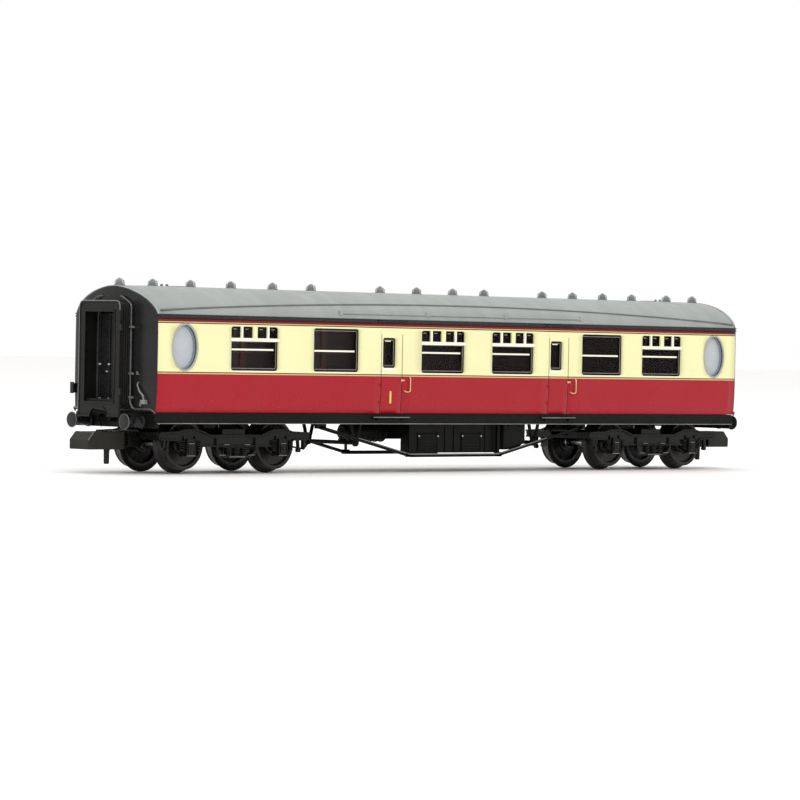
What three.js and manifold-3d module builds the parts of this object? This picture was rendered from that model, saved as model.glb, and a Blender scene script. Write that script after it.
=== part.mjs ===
// A 1:148 model of a bow-ended corridor coach: plastic body shell, roof, glazing and compartment moulding
// on an underframe, with two swivelling bogies, free-running wheelsets and sprung couplers.
// Millimetres, +Z up. X runs along the coach with the front end at -X and the corridor side at -Y. The
// origin is midway between the ends and the sides, level with the tips of the wheel flanges.
import * as THREE from "three";
import { mergeVertices } from "three/addons/utils/BufferGeometryUtils.js";
import Module from "manifold-3d";

const wasm = await Module();
wasm.setup();

// ------------------------------------------------ driving dimensions

const SCALE = 148;
const prototype = (feet, inches = 0) => ((feet * 12 + inches) * 25.4) / SCALE;

const FLANGE_DEPTH = 0.6;
const above = (height) => FLANGE_DEPTH + height; // from a height over the rail top
const GAP = 0.05; // clearance between pieces that meet

// Body and roof
const BODY_HALF_LENGTH = prototype(59, 6) / 2;
const BODY_HALF_WIDTH = prototype(9) / 2;
const END_BOW = 0.9; // how far the middle of each end stands out past its corners
const WALL = 0.8;
const INNER_HALF_WIDTH = BODY_HALF_WIDTH - WALL;
const BODY_BOTTOM = above(8.35);
const WAIST = above(13.8);
const CANTRAIL = above(21.85);
const ROOF_TOP = above(26.5);
const ROOF_THICKNESS = 0.6;
const ROOF_OVERHANG = 0.2; // roof end past the end wall
const ROOF_SQUARENESS = 2.1; // exponent of the roof's superellipse section

// Windows and doors, the same places on both sides
const WINDOW_WIDTH = prototype(4, 6);
const WINDOW_CENTRES = [-42.7, -26.6, -4.65, 10.3, 30.1, 43.8];
const PLAIN_WINDOWS_NEAR = [1, 4]; // corridor windows that have no top lights
const WINDOW_BOTTOM = above(14.45);
const WINDOW_TOP = above(20.85);
const TRANSOM = [above(18.7), above(19.2)];
const WINDOW_CORNER = 0.45;
const THIN_BAR = 0.4;
const THICK_BAR = 0.85;
const DOOR_CENTRES = [-15.4, 20.3];
const DOOR_WINDOW_OFFSET = -0.45;
const DOOR_WINDOW_WIDTH = 2.85;
const DOOR_WINDOW_Z = [above(15.15), above(19.65)];
const OVAL_CENTRE = [56.05, above(17.7)];
const OVAL_RADII = [2.3, 3.3];

// Underframe
const SOLEBAR_BOTTOM = above(6.7);
const SOLEBAR_OUTER = 8.9;
const SOLEBAR_INNER = 8.25;
const FLOOR_BOTTOM = above(8);
const FLOOR_TOP = above(9);
const HEADSTOCK = [60.4, 61.2];
const TRUSS_TOP_X = 28;
const TRUSS_BOTTOM_X = 9.4;
const TRUSS_Z = above(1.95);
const TRUSS_Y = [6.75, 7.25];
const STEP_LENGTH = 7.45;

// Ends
const BUFFER_Y = 5.95;
const BUFFER_Z = above(6.95);
const BUFFER_FACE_X = 64.5;
const BUFFER_HEAD_RADIUS = 1.15;
const GANGWAY_HALF_WIDTH = 4.6;
const GANGWAY_OPENING = 3.25;
const GANGWAY_OPENING_Z = [above(9.7), above(22.6)];
const GANGWAY_TOP = above(24.2);
const BELLOWS_X = [62.25, 63.95];
const FACEPLATE_X = [64.0, 64.4];

// Bogies
const BOGIE_CENTRE = prototype(43) / 2;
const HALF_WHEELBASE = prototype(8, 6) / 2;
const TREAD_RADIUS = prototype(3, 6) / 2;
const FLANGE_RADIUS = TREAD_RADIUS + FLANGE_DEPTH;
const AXLE_Z = FLANGE_RADIUS;
const WHEEL_BACK = 3.7; // half the distance between the wheel backs
const WHEEL_WIDTH = 2.2;
const AXLE_RADIUS = 0.7;
const AXLE_TIP = 6.95;
const POINT_LENGTH = 0.75;
const SIDE_FRAME_Y = [6.45, 7.3];
const BOLSTER_TOP = above(6.9);
const PIVOT_RADIUS = 0.95;
const WHEEL_SEGMENTS = 20;

// Couplers, measured along X from the bogie pivot
const COUPLER_NOSE = 67.8 - BOGIE_CENTRE;
const COUPLER_REAR = COUPLER_NOSE - 6.7;
const COUPLER_PIVOT = [COUPLER_REAR + 0.9, above(4.1)];
const COUPLER_HALF_WIDTH = 2.15;
const COUPLER_Z = [above(2.85), above(5.4)];
const COUPLER_CAVITY_END = COUPLER_REAR + 3.1;
const TONGUE_END = COUPLER_PIVOT[0] + 1.0;

// ------------------------------------------------ materials

const paint = (color, roughness, metalness = 0) =>
  new THREE.MeshStandardMaterial({ color, roughness, metalness });
const MATERIALS = {
  body: paint(0xa52a3a, 0.4),
  roof: paint(0xa9afab, 0.55),
  black: paint(0x1c1b1a, 0.5),
  interior: paint(0x4a2c22, 0.6),
  clear: paint(0xb8c4c8, 0.08),
  frosted: paint(0x9aa3aa, 0.35),
  steel: paint(0x8b8e92, 0.3, 0.9),
  blackened: paint(0x2a2624, 0.35, 0.7),
};

// ------------------------------------------------ solids

// A closed three.js geometry as a manifold-3d solid.
function solidOf(geometry) {
  geometry.deleteAttribute("normal");
  geometry.deleteAttribute("uv");
  const merged = mergeVertices(geometry, 1e-4);
  const corners = merged.index.array;
  const triangles = [];
  for (let i = 0; i < corners.length; i += 3) {
    const [a, b, c] = corners.slice(i, i + 3);
    if (a !== b && b !== c && c !== a) triangles.push(a, b, c);
  }
  const vertProperties = new Float32Array(merged.attributes.position.array);
  const triVerts = new Uint32Array(triangles);
  return new wasm.Manifold(new wasm.Mesh({ numProp: 3, vertProperties, triVerts }));
}

function geometryOf(solid) {
  const { vertProperties, triVerts } = solid.getMesh();
  const geometry = new THREE.BufferGeometry();
  geometry.setAttribute("position", new THREE.BufferAttribute(vertProperties, 3));
  geometry.setIndex(new THREE.BufferAttribute(triVerts, 1));
  geometry.computeVertexNormals();
  return geometry;
}

const join = (...solids) => solids.reduce((whole, solid) => whole.add(solid));
const cut = (whole, ...tools) => tools.reduce((left, tool) => left.subtract(tool), whole);

function box([x0, x1], [y0, y1], [z0, z1]) {
  const geometry = new THREE.BoxGeometry(x1 - x0, y1 - y0, z1 - z0);
  return solidOf(geometry.translate((x0 + x1) / 2, (y0 + y1) / 2, (z0 + z1) / 2));
}

// The world directions of an outline's two axes and of its extrusion.
const X = new THREE.Vector3(1, 0, 0);
const Y = new THREE.Vector3(0, 1, 0);
const Z = new THREE.Vector3(0, 0, 1);
const BASES = {
  x: new THREE.Matrix4().makeBasis(Y, Z, X),
  y: new THREE.Matrix4().makeBasis(Z, X, Y),
  z: new THREE.Matrix4(),
};

// An outline carried along an axis: it lies in (y, z) for x, in (z, x) for y and in (x, y) for z.
function extrude(shape, axis, [from, to], curveSegments = 6) {
  const options = { depth: to - from, bevelEnabled: false, curveSegments };
  const geometry = new THREE.ExtrudeGeometry(shape, options);
  return solidOf(geometry.translate(0, 0, from).applyMatrix4(BASES[axis]));
}

const outline = (points) => new THREE.Shape(points.map(([u, v]) => new THREE.Vector2(u, v)));

// A side view, in (x, z), carried across the coach.
const sideways = (points, ys) => extrude(outline(points.map(([x, z]) => [z, x])), "y", ys);

function roundedRectangle([u0, u1], [v0, v1], radius) {
  const shape = new THREE.Shape();
  shape.absarc(u1 - radius, v1 - radius, radius, 0, Math.PI / 2);
  shape.absarc(u0 + radius, v1 - radius, radius, Math.PI / 2, Math.PI);
  shape.absarc(u0 + radius, v0 + radius, radius, Math.PI, 1.5 * Math.PI);
  shape.absarc(u1 - radius, v0 + radius, radius, 1.5 * Math.PI, 2 * Math.PI);
  return shape;
}

// A profile of [radius, height] points turned about an axis through the centre.
function turn(points, axis, centre, segments = 16) {
  const profile = points.map(([radius, height]) => new THREE.Vector2(radius, height));
  const geometry = new THREE.LatheGeometry(profile, segments);
  if (axis === "x") geometry.rotateZ(-Math.PI / 2);
  if (axis === "z") geometry.rotateX(Math.PI / 2);
  return solidOf(geometry.translate(...centre));
}

const rod = (radius, [from, to], axis, centre, segments = 16) =>
  turn([[0, from], [radius, from], [radius, to], [0, to]], axis, centre, segments);

// A straight flat bar between two points of a side view.
function bar([x0, z0], [x1, z1], width, ys) {
  const across = new THREE.Vector2(z0 - z1, x1 - x0).setLength(width / 2);
  const corner = (x, z, side) => [x + side * across.x, z + side * across.y];
  return sideways([corner(x0, z0, -1), corner(x1, z1, -1), corner(x1, z1, 1), corner(x0, z0, 1)], ys);
}

const both = (build) => join(build(-1), build(1));
const onSide = (side, [near, far]) => (side < 0 ? [-far, -near] : [near, far]);

// ------------------------------------------------ body and roof

// Half of a superellipse over the sides, from the +Y eave to the -Y eave.
function roofArc(halfWidth, base, top, steps = 20) {
  return Array.from({ length: steps + 1 }, (_, i) => {
    const angle = (Math.PI * i) / steps;
    const power = 2 / ROOF_SQUARENESS;
    const y = Math.sign(Math.cos(angle)) * Math.abs(Math.cos(angle)) ** power * halfWidth;
    return [y, base + Math.abs(Math.sin(angle)) ** power * (top - base)];
  });
}

function bowEndedPlan(halfLength, halfWidth, bow, zs) {
  const shape = new THREE.Shape();
  shape.moveTo(-halfLength, -halfWidth);
  shape.lineTo(halfLength, -halfWidth);
  shape.quadraticCurveTo(halfLength + 2 * bow, 0, halfLength, halfWidth);
  shape.lineTo(-halfLength, halfWidth);
  shape.quadraticCurveTo(-halfLength - 2 * bow, 0, -halfLength, -halfWidth);
  return extrude(shape, "z", zs, 5);
}

// The four narrow lights over a window's transom, as [from, to] along X.
function topLights(centre) {
  const half = WINDOW_WIDTH / 2;
  const light = (half - THICK_BAR / 2 - THIN_BAR) / 2;
  return [-1, 1].flatMap((side) => {
    const inner = THICK_BAR / 2;
    const spans = [[inner, inner + light], [half - light, half]];
    return spans.map(([a, b]) => (side < 0 ? [centre - b, centre - a] : [centre + a, centre + b]));
  });
}

const isPlain = (index, side) => side < 0 && PLAIN_WINDOWS_NEAR.includes(index);

function windowOpenings(side) {
  const ys = onSide(side, [INNER_HALF_WIDTH - 0.3, BODY_HALF_WIDTH + 0.3]);
  const half = WINDOW_WIDTH / 2;
  const opening = (xs, zs, radius) => extrude(roundedRectangle(zs, xs, radius), "y", ys, 1);
  const windows = WINDOW_CENTRES.flatMap((x, i) => {
    if (isPlain(i, side)) return [opening([x - half, x + half], [WINDOW_BOTTOM, WINDOW_TOP], WINDOW_CORNER)];
    const lights = topLights(x).map((xs) => box(xs, ys, [TRANSOM[1], WINDOW_TOP]));
    return [opening([x - half, x + half], [WINDOW_BOTTOM, TRANSOM[0]], WINDOW_CORNER), ...lights];
  });
  const doors = DOOR_CENTRES.map((x) => {
    const middle = x + DOOR_WINDOW_OFFSET;
    return opening([middle - DOOR_WINDOW_WIDTH / 2, middle + DOOR_WINDOW_WIDTH / 2], DOOR_WINDOW_Z, 0.4);
  });
  const ovals = [-1, 1].map((end) => extrude(oval(end, 0), "y", ys, 10));
  return [...windows, ...doors, ...ovals];
}

function oval(end, margin) {
  const shape = new THREE.Shape();
  const [x, z] = [end * OVAL_CENTRE[0], OVAL_CENTRE[1]];
  shape.absellipse(z, x, OVAL_RADII[1] + margin, OVAL_RADII[0] + margin, 0, 2 * Math.PI);
  return shape;
}

function bodyShell() {
  const widths = [
    [-0.27, BODY_BOTTOM],
    [-0.08, above(10.8)],
    [0, WAIST],
    [0, above(18)],
    [-0.06, CANTRAIL],
  ];
  const side = widths.map(([inset, z]) => [BODY_HALF_WIDTH + inset, z]);
  const endArc = roofArc(BODY_HALF_WIDTH - ROOF_THICKNESS - GAP, CANTRAIL, ROOF_TOP - ROOF_THICKNESS - GAP);
  const section = [...side, ...endArc, ...side.map(([y, z]) => [-y, z]).reverse()];
  const reach = BODY_HALF_LENGTH + 2;
  const heights = [BODY_BOTTOM - 1, ROOF_TOP];
  const outside = extrude(outline(section), "x", [-reach, reach]).intersect(
    bowEndedPlan(BODY_HALF_LENGTH, BODY_HALF_WIDTH + 1, END_BOW, heights),
  );
  const cavity = bowEndedPlan(BODY_HALF_LENGTH - WALL, INNER_HALF_WIDTH, END_BOW, heights);
  const overSides = BODY_HALF_LENGTH - WALL;
  const aboveCantrail = box([-overSides, overSides], [-10, 10], [CANTRAIL, ROOF_TOP]);
  const gangways = [-1, 1].map((end) =>
    box(onSide(end, [BODY_HALF_LENGTH - 2, reach]), [-GANGWAY_OPENING, GANGWAY_OPENING], GANGWAY_OPENING_Z),
  );
  return cut(outside, cavity, aboveCantrail, ...gangways, ...windowOpenings(-1), ...windowOpenings(1));
}

// Shell ventilators along the crest, by their places along the coach.
const VENTILATORS = [
  -60.8, -54.6, -47.4, -39.6, -31.4, -23.7, -9.5, -1.8, 5.9, 12.7, 25.6, 32.5, 39.4, 46.2, 54.4, 60.6,
];
const VENTILATOR_SECTION = [[0, -0.4], [0.5, -0.4], [0.75, 0.4], [0.62, 0.95], [0, 1.15]];

function roof() {
  const outer = roofArc(BODY_HALF_WIDTH, CANTRAIL + GAP, ROOF_TOP);
  const innerHalfWidth = BODY_HALF_WIDTH - ROOF_THICKNESS;
  const inner = roofArc(innerHalfWidth, CANTRAIL + GAP, ROOF_TOP - ROOF_THICKNESS).reverse();
  const reach = BODY_HALF_LENGTH + 2;
  const halfLength = BODY_HALF_LENGTH + ROOF_OVERHANG;
  const sheet = extrude(outline([...outer, ...inner]), "x", [-reach, reach]).intersect(
    bowEndedPlan(halfLength, BODY_HALF_WIDTH + 1, END_BOW, [CANTRAIL, ROOF_TOP + 1]),
  );
  const ventilators = VENTILATORS.map((x) => turn(VENTILATOR_SECTION, "z", [x, 0, ROOF_TOP], 8));
  return join(sheet, ...ventilators);
}

// ------------------------------------------------ glazing and interior

const GLAZING_Y = [INNER_HALF_WIDTH - 0.45, INNER_HALF_WIDTH - GAP];
const PANE_Y = [INNER_HALF_WIDTH - 0.4, INNER_HALF_WIDTH + 0.35];
const PANE_CLEARANCE = 0.1;

function glazing(side) {
  const strip = box([-50.3, 50.3], onSide(side, GLAZING_Y), [WINDOW_BOTTOM - 0.7, WINDOW_TOP + 0.4]);
  const half = WINDOW_WIDTH / 2 - PANE_CLEARANCE;
  const panes = WINDOW_CENTRES.map((x, i) => {
    const top = isPlain(i, side) ? WINDOW_TOP : TRANSOM[0];
    const zs = [WINDOW_BOTTOM + PANE_CLEARANCE, top - PANE_CLEARANCE];
    return extrude(roundedRectangle(zs, [x - half, x + half], WINDOW_CORNER), "y", onSide(side, PANE_Y), 1);
  });
  const doorHalf = DOOR_WINDOW_WIDTH / 2 - PANE_CLEARANCE;
  const doorZ = [DOOR_WINDOW_Z[0] + PANE_CLEARANCE, DOOR_WINDOW_Z[1] - PANE_CLEARANCE];
  const doorPanes = DOOR_CENTRES.map((x) => {
    const middle = x + DOOR_WINDOW_OFFSET;
    const shape = roundedRectangle(doorZ, [middle - doorHalf, middle + doorHalf], 0.4);
    return extrude(shape, "y", onSide(side, PANE_Y), 1);
  });
  return join(strip, ...panes, ...doorPanes);
}

function ovalPane(end, side) {
  const raisedPane = [INNER_HALF_WIDTH - 0.3, INNER_HALF_WIDTH + 0.45];
  const backing = [INNER_HALF_WIDTH - 0.5, INNER_HALF_WIDTH - GAP];
  return extrude(oval(end, -PANE_CLEARANCE), "y", onSide(side, raisedPane), 8)
    .add(extrude(oval(end, 0.5), "y", onSide(side, backing), 8));
}

const INTERIOR_FLOOR = [above(10.1), above(10.6)];
const PARTITION_TOP = above(21.3);
const CORRIDOR_WALL_Y = [-4.7, -4.2];
const INTERIOR_HALF_WIDTH = 7.8;
const COMPARTMENTS = [
  [-50.4, -34.8], [-34.4, -18.8], [-12.1, 2.6], [3, 17.3], [23.6, 36.8], [37.2, 50.4],
];
const SEAT_DEPTH = 2.5;
const SEAT_TOP = above(13.2);
const SEAT_BACK = [1.1, above(17.4)]; // thickness and top

function interior() {
  const ys = [CORRIDOR_WALL_Y[1], INTERIOR_HALF_WIDTH];
  const zs = [INTERIOR_FLOOR[1] - 0.1, PARTITION_TOP];
  const floor = box([-58.5, 58.5], [-INTERIOR_HALF_WIDTH, INTERIOR_HALF_WIDTH], INTERIOR_FLOOR);
  const rooms = COMPARTMENTS.flatMap(([x0, x1]) => [
    box([x0 - 0.2, x1 + 0.2], CORRIDOR_WALL_Y, zs),
    box([x0 - 0.2, x0 + 0.2], ys, zs),
    box([x1 - 0.2, x1 + 0.2], ys, zs),
    box([x0, x0 + SEAT_DEPTH], ys, [zs[0], SEAT_TOP]),
    box([x1 - SEAT_DEPTH, x1], ys, [zs[0], SEAT_TOP]),
    box([x0, x0 + SEAT_BACK[0]], ys, [zs[0], SEAT_BACK[1]]),
    box([x1 - SEAT_BACK[0], x1], ys, [zs[0], SEAT_BACK[1]]),
  ]);
  return join(floor, ...rooms);
}

const ballast = () => box([-41, 41], [-6, 6], [FLOOR_TOP + GAP, INTERIOR_FLOOR[0] - GAP]);

// ------------------------------------------------ underframe

const BOSS_RADIUS = 2.2;
const PIVOT_HOLE_TOP = FLOOR_TOP - 0.2;

function chassis() {
  const halfLength = HEADSTOCK[1] - 0.2;
  const floorHalfLength = BODY_HALF_LENGTH - WALL - 0.3;
  const inside = [0.15 - INNER_HALF_WIDTH, INNER_HALF_WIDTH - 0.15];
  const upper = box([-floorHalfLength, floorHalfLength], inside, [FLOOR_BOTTOM + 0.2, FLOOR_TOP]);
  const full = [-halfLength, halfLength];
  const lower = box(full, [-SOLEBAR_OUTER, SOLEBAR_OUTER], [FLOOR_BOTTOM, BODY_BOTTOM - GAP]);
  const solebars = both((side) => {
    const web = onSide(side, [SOLEBAR_INNER, SOLEBAR_OUTER]);
    const flange = onSide(side, [SOLEBAR_INNER, SOLEBAR_OUTER + 0.12]);
    return join(
      box(full, web, [SOLEBAR_BOTTOM, FLOOR_BOTTOM + 0.1]),
      box(full, flange, [SOLEBAR_BOTTOM, SOLEBAR_BOTTOM + 0.16]),
    );
  });
  const headstocks = both((end) =>
    box(onSide(end, HEADSTOCK), [-SOLEBAR_OUTER, SOLEBAR_OUTER], [above(6.05), FLOOR_BOTTOM + 0.1]));
  const bosses = both((end) =>
    rod(BOSS_RADIUS, [BOLSTER_TOP + 0.1, FLOOR_BOTTOM + 0.1], "z", [end * BOGIE_CENTRE, 0, 0]));
  const holes = both((end) =>
    rod(PIVOT_RADIUS + GAP, [BOLSTER_TOP - 1, PIVOT_HOLE_TOP], "z", [end * BOGIE_CENTRE, 0, 0]));
  return join(upper, lower, solebars, headstocks, bosses).subtract(holes);
}

// Rakers and boom of each truss, hung from the floor by two posts and two feet.
function truss(side) {
  const ys = onSide(side, TRUSS_Y);
  const top = FLOOR_BOTTOM - GAP;
  const rakerTop = SOLEBAR_BOTTOM - 0.45;
  const rakers = both((end) =>
    bar([end * TRUSS_TOP_X, rakerTop], [end * TRUSS_BOTTOM_X, TRUSS_Z], 0.5, ys));
  const boom = bar([-TRUSS_BOTTOM_X - 0.1, TRUSS_Z], [TRUSS_BOTTOM_X + 0.1, TRUSS_Z], 0.5, ys);
  const posts = both((end) => bar([end * TRUSS_BOTTOM_X, TRUSS_Z], [end * TRUSS_BOTTOM_X, top], 0.5, ys));
  const feet = both((end) =>
    box(onSide(end, [TRUSS_TOP_X - 1.4, TRUSS_TOP_X + 0.6]), ys, [rakerTop - 0.25, top]));
  return join(rakers, boom, posts, feet);
}

// The near side has the deep case with two doors; the far side's is shallower and shorter.
const BATTERY_Y = [4.2, 6.5];
const BATTERY_BOXES = {
  near: { xs: [-8.6, 9.9], bottom: above(2.3), doors: [-5.05, 4.15], doorZ: [above(2.7), above(5.5)] },
  far: { xs: [-6.1, 9.9], bottom: above(4.1), doors: [-2.6, 5.9], doorZ: [above(4.4), above(6.3)] },
};

function batteryBox(side) {
  const { xs, bottom, doors, doorZ } = side < 0 ? BATTERY_BOXES.near : BATTERY_BOXES.far;
  const front = BATTERY_Y[1];
  const body = box(xs, onSide(side, BATTERY_Y), [bottom, FLOOR_BOTTOM - GAP]);
  const door = (x) => box([x - 2.1, x + 2.1], onSide(side, [front - 0.1, front + 0.2]), doorZ);
  return join(body, ...doors.map(door));
}

function regulatorBox(side) {
  const top = FLOOR_BOTTOM - GAP;
  const profile = [[11.1, above(2.7)], [14.1, above(2.9)], [15.8, above(3.9)], [15.8, top], [11.1, top]];
  return sideways(profile, onSide(side, [BATTERY_Y[0], 6.6]));
}

function dynamo() {
  const [y, z, radius] = [-1.2, above(5.3), 1.5];
  const drum = rod(radius, [-16.5, -9.8], "x", [0, y, z], 20);
  const shaft = rod(0.35, [-18.2, -16], "x", [0, y, z], 12);
  const pulley = rod(1.0, [-18.1, -17.4], "x", [0, y, z], 16);
  const bracket = box([-14.8, -11.6], [y - 0.6, y + 0.6], [z, FLOOR_BOTTOM - GAP]);
  return join(drum, shaft, pulley, bracket);
}

function vacuumCylinder(end) {
  const [x, y, radius] = [end * 13.4, end * -2.6, 1.35];
  const drum = [[0, above(3.7)], [radius, above(3.7)], [radius, above(6.2)], [0, above(6.5)]];
  const mount = box([x - 0.6, x + 0.6], [y - 1, y + 1], [above(5.6), FLOOR_BOTTOM - GAP]);
  return turn(drum, "z", [x, y, 0], 16).add(mount);
}

// A cross shaft in two V hangers, with its crank and the pull rod towards the bogie.
function brakeRigging(end) {
  const x = end * 18.9;
  const top = FLOOR_BOTTOM - GAP;
  const vee = [[x - 0.35, above(3.3)], [x + 0.35, above(3.3)], [x + 1.6, top], [x - 1.6, top]];
  const hanger = (y) => sideways(vee, [y - 0.2, y + 0.2]);
  const shaft = rod(0.3, [-5.6, 5.6], "y", [x, 0, above(3.8)], 12);
  const crank = bar([x, above(3.8)], [x + end * 1.2, above(2.6)], 0.5, [5.0, 5.5]);
  const pull = bar([x + end * 1.2, above(2.6)], [x + end * 8, above(3.6)], 0.3, [5.1, 5.4]);
  return join(hanger(-5.3), hanger(5.3), shaft, crank, pull);
}

function stepBoard(x, side) {
  const half = STEP_LENGTH / 2;
  const reach = (outer) => onSide(side, [SOLEBAR_OUTER + 0.02, outer]);
  const plank = box([x - half, x + half], reach(9.5), [above(7.6), above(7.8)]);
  const brackets = [x - 2.6, x + 2.6].map((middle) =>
    box([middle - 0.15, middle + 0.15], reach(9.3), [above(7.2), above(7.7)]));
  return join(plank, ...brackets);
}

// ------------------------------------------------ ends, drawn at the +X end

function bellows() {
  const shape = roundedRectangle([-4.5, 4.5], [above(9), above(24)], 1.1);
  shape.holes.push(roundedRectangle([-GANGWAY_OPENING - 0.2, GANGWAY_OPENING + 0.2],
    [GANGWAY_OPENING_Z[0] - 0.2, GANGWAY_OPENING_Z[1] + 0.2], 0.5));
  return extrude(shape, "x", BELLOWS_X, 2);
}

function faceplate() {
  const [half, bottom] = [GANGWAY_HALF_WIDTH, above(7.5)];
  const plate = extrude(roundedRectangle([-half, half], [bottom, GANGWAY_TOP], 1.0), "x", FACEPLATE_X, 2);
  const opening = box([60, 66], [-GANGWAY_OPENING, GANGWAY_OPENING], GANGWAY_OPENING_Z);
  const notch = extrude(outline([[-1.8, bottom - 1], [1.8, bottom - 1], [1.8, above(8.1)], [1.2, above(8.65)],
    [-1.2, above(8.65)], [-1.8, above(8.1)]]), "x", [60, 66]);
  const square = box(FACEPLATE_X, [-half, half], [bottom, above(10)]);
  return cut(plate.add(square), opening, notch);
}

// The door stands in the end wall's opening, with four upright stiles and two rails proud of its leaf.
const LEAF_X = [61.3, 61.65];
const STILE_X = [LEAF_X[1] - 0.1, LEAF_X[1] + 0.25];

function gangwayDoor() {
  const half = GANGWAY_OPENING - 0.1;
  const [bottom, top] = [GANGWAY_OPENING_Z[0] + 0.1, GANGWAY_OPENING_Z[1] - 0.1];
  const leaf = box(LEAF_X, [-half, half], [bottom, top]);
  const stiles = [-2.87, -0.72, 0.72, 2.87].map((y) => box(STILE_X, [y - 0.15, y + 0.15], [bottom, top]));
  const rails = [above(13.9), above(15)].map((z) => box(STILE_X, [-half, half], [z - 0.15, z + 0.15]));
  return join(leaf, ...stiles, ...rails);
}

function buffer(y) {
  const start = HEADSTOCK[1] + 0.02;
  const stem = [[0, start], [1.0, start], [0.75, start + 0.5], [0.75, start + 1.7], [0.45, start + 1.8]];
  const head = [[0.45, BUFFER_FACE_X - 0.4], [BUFFER_HEAD_RADIUS, BUFFER_FACE_X - 0.3],
    [BUFFER_HEAD_RADIUS, BUFFER_FACE_X], [0, BUFFER_FACE_X]];
  return turn([...stem, ...head], "x", [0, y, BUFFER_Z], 12);
}

// ------------------------------------------------ bogie, drawn about its pivot, coupler towards +X

const PIN_RADIUS = 0.3;
const SIDE_FRAME_TOP = [[4.9, 5.1], [7, 5.87], [8.5, 5.95], [10, 5.87], [11, 5.6], [14.5, 5.45]];
const SIDE_FRAME_FOOT = [
  [14.5, 4.3], [11.2, 4.2], [10.1, 3.4], [10.1, 2.5], [7.4, 2.5], [7.4, 3.3], [5.3, 3.33],
];
const SPRING_BEAM = [[-4, 3.4], [-3.2, 2.1], [-1.6, 1.7], [1.6, 1.7], [3.2, 2.1], [4, 3.4]];
const HANGER_X = [12.1, 12.8];
const TRANSOM_X = [13.3, 14.1];
const BEARING_PIT = [[0, 6.2], [0.81, 6.2], [0, AXLE_TIP + 0.1]];

const raised = (points) => points.map(([x, height]) => [x, above(height)]);
const mirrored = (points) => points.map(([u, v]) => [-u, v]).reverse();
const turnedOver = (profile) => profile.map(([radius, height]) => [radius, -height]).reverse();

function sideFrame(side) {
  const [inner, outer] = SIDE_FRAME_Y;
  const right = raised([...SIDE_FRAME_TOP, ...SIDE_FRAME_FOOT]);
  const plate = sideways([...mirrored(right), ...right], onSide(side, SIDE_FRAME_Y));
  const springs = sideways(raised(SPRING_BEAM), onSide(side, [inner + 0.1, outer + 0.2]));
  const axleboxes = both((end) => {
    const x = end * (HALF_WHEELBASE + 0.1);
    return box([x - 0.85, x + 0.85], onSide(side, [inner + 0.1, outer + 0.4]), [above(2.1), above(4.5)]);
  });
  const hangers = both((end) =>
    box(onSide(end, HANGER_X), onSide(side, [inner - 0.1, outer - 0.1]), [above(1.2), above(4.6)]));
  return join(plate, springs, axleboxes, hangers);
}

function bogieFrame() {
  const across = [-SIDE_FRAME_Y[0] - 0.2, SIDE_FRAME_Y[0] + 0.2];
  const bolster = box([-2.2, 2.2], across, [above(4.4), above(5.9)]);
  const pad = rod(BOSS_RADIUS, [above(5.8), BOLSTER_TOP], "z", [0, 0, 0]);
  const spine = box([-TRANSOM_X[1], TRANSOM_X[1]], [-1.9, 1.9], [above(4.75), above(5.7)]);
  const transoms = both((end) => box(onSide(end, TRANSOM_X), across, [above(4.35), above(5.4)]));
  const [pivotX, pivotZ] = COUPLER_PIVOT;
  const tongue = box([TRANSOM_X[0], TONGUE_END], [-1.25, 1.25], [pivotZ - 0.7, pivotZ + 0.7]);
  const arm = box([TRANSOM_X[0], 15.8], [-1.7, 1.7], [above(3.2), above(5.4)]);
  const pits = both((end) => both((side) =>
    turn(side > 0 ? BEARING_PIT : turnedOver(BEARING_PIT), "y", [end * HALF_WHEELBASE, 0, AXLE_Z], 12)));
  const pivotHole = rod(PIVOT_RADIUS + 0.15, [above(3), above(8)], "z", [0, 0, 0]);
  const pinHole = rod(PIN_RADIUS + 0.1, [-3, 3], "y", [pivotX, 0, pivotZ], 12);
  const solid = join(both(sideFrame), bolster, pad, spine, transoms, tongue, arm);
  return cut(solid, pits, pivotHole, pinHole);
}

function pivotScrew() {
  const profile = [[0, above(3.4)], [1.7, above(3.4)], [1.7, above(4.3)], [PIVOT_RADIUS, above(4.3)],
    [PIVOT_RADIUS, PIVOT_HOLE_TOP - 0.1], [0, PIVOT_HOLE_TOP - 0.1]];
  const slot = box([-2, 2], [-0.2, 0.2], [above(3), above(3.75)]);
  return turn(profile, "z", [0, 0, 0], 20).subtract(slot);
}

function axle(x) {
  const shoulder = AXLE_TIP - POINT_LENGTH;
  const profile = [[0, -AXLE_TIP], [AXLE_RADIUS, -shoulder], [AXLE_RADIUS, shoulder], [0, AXLE_TIP]];
  return turn(profile, "y", [x, 0, AXLE_Z], 12);
}

function wheel(x, side) {
  const [back, front] = [WHEEL_BACK, WHEEL_BACK + WHEEL_WIDTH];
  const web = front - 0.7;
  const bore = AXLE_RADIUS + GAP;
  const flange = [[bore, back], [FLANGE_RADIUS, back], [FLANGE_RADIUS, back + 0.25]];
  const tread = [[TREAD_RADIUS + 0.1, back + 0.6], [TREAD_RADIUS, front], [TREAD_RADIUS - 0.6, front]];
  const profile = [...flange, ...tread, [TREAD_RADIUS - 0.8, web], [bore, web], flange[0]];
  return turn(side > 0 ? profile : turnedOver(profile), "y", [x, 0, AXLE_Z], WHEEL_SEGMENTS);
}

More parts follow.
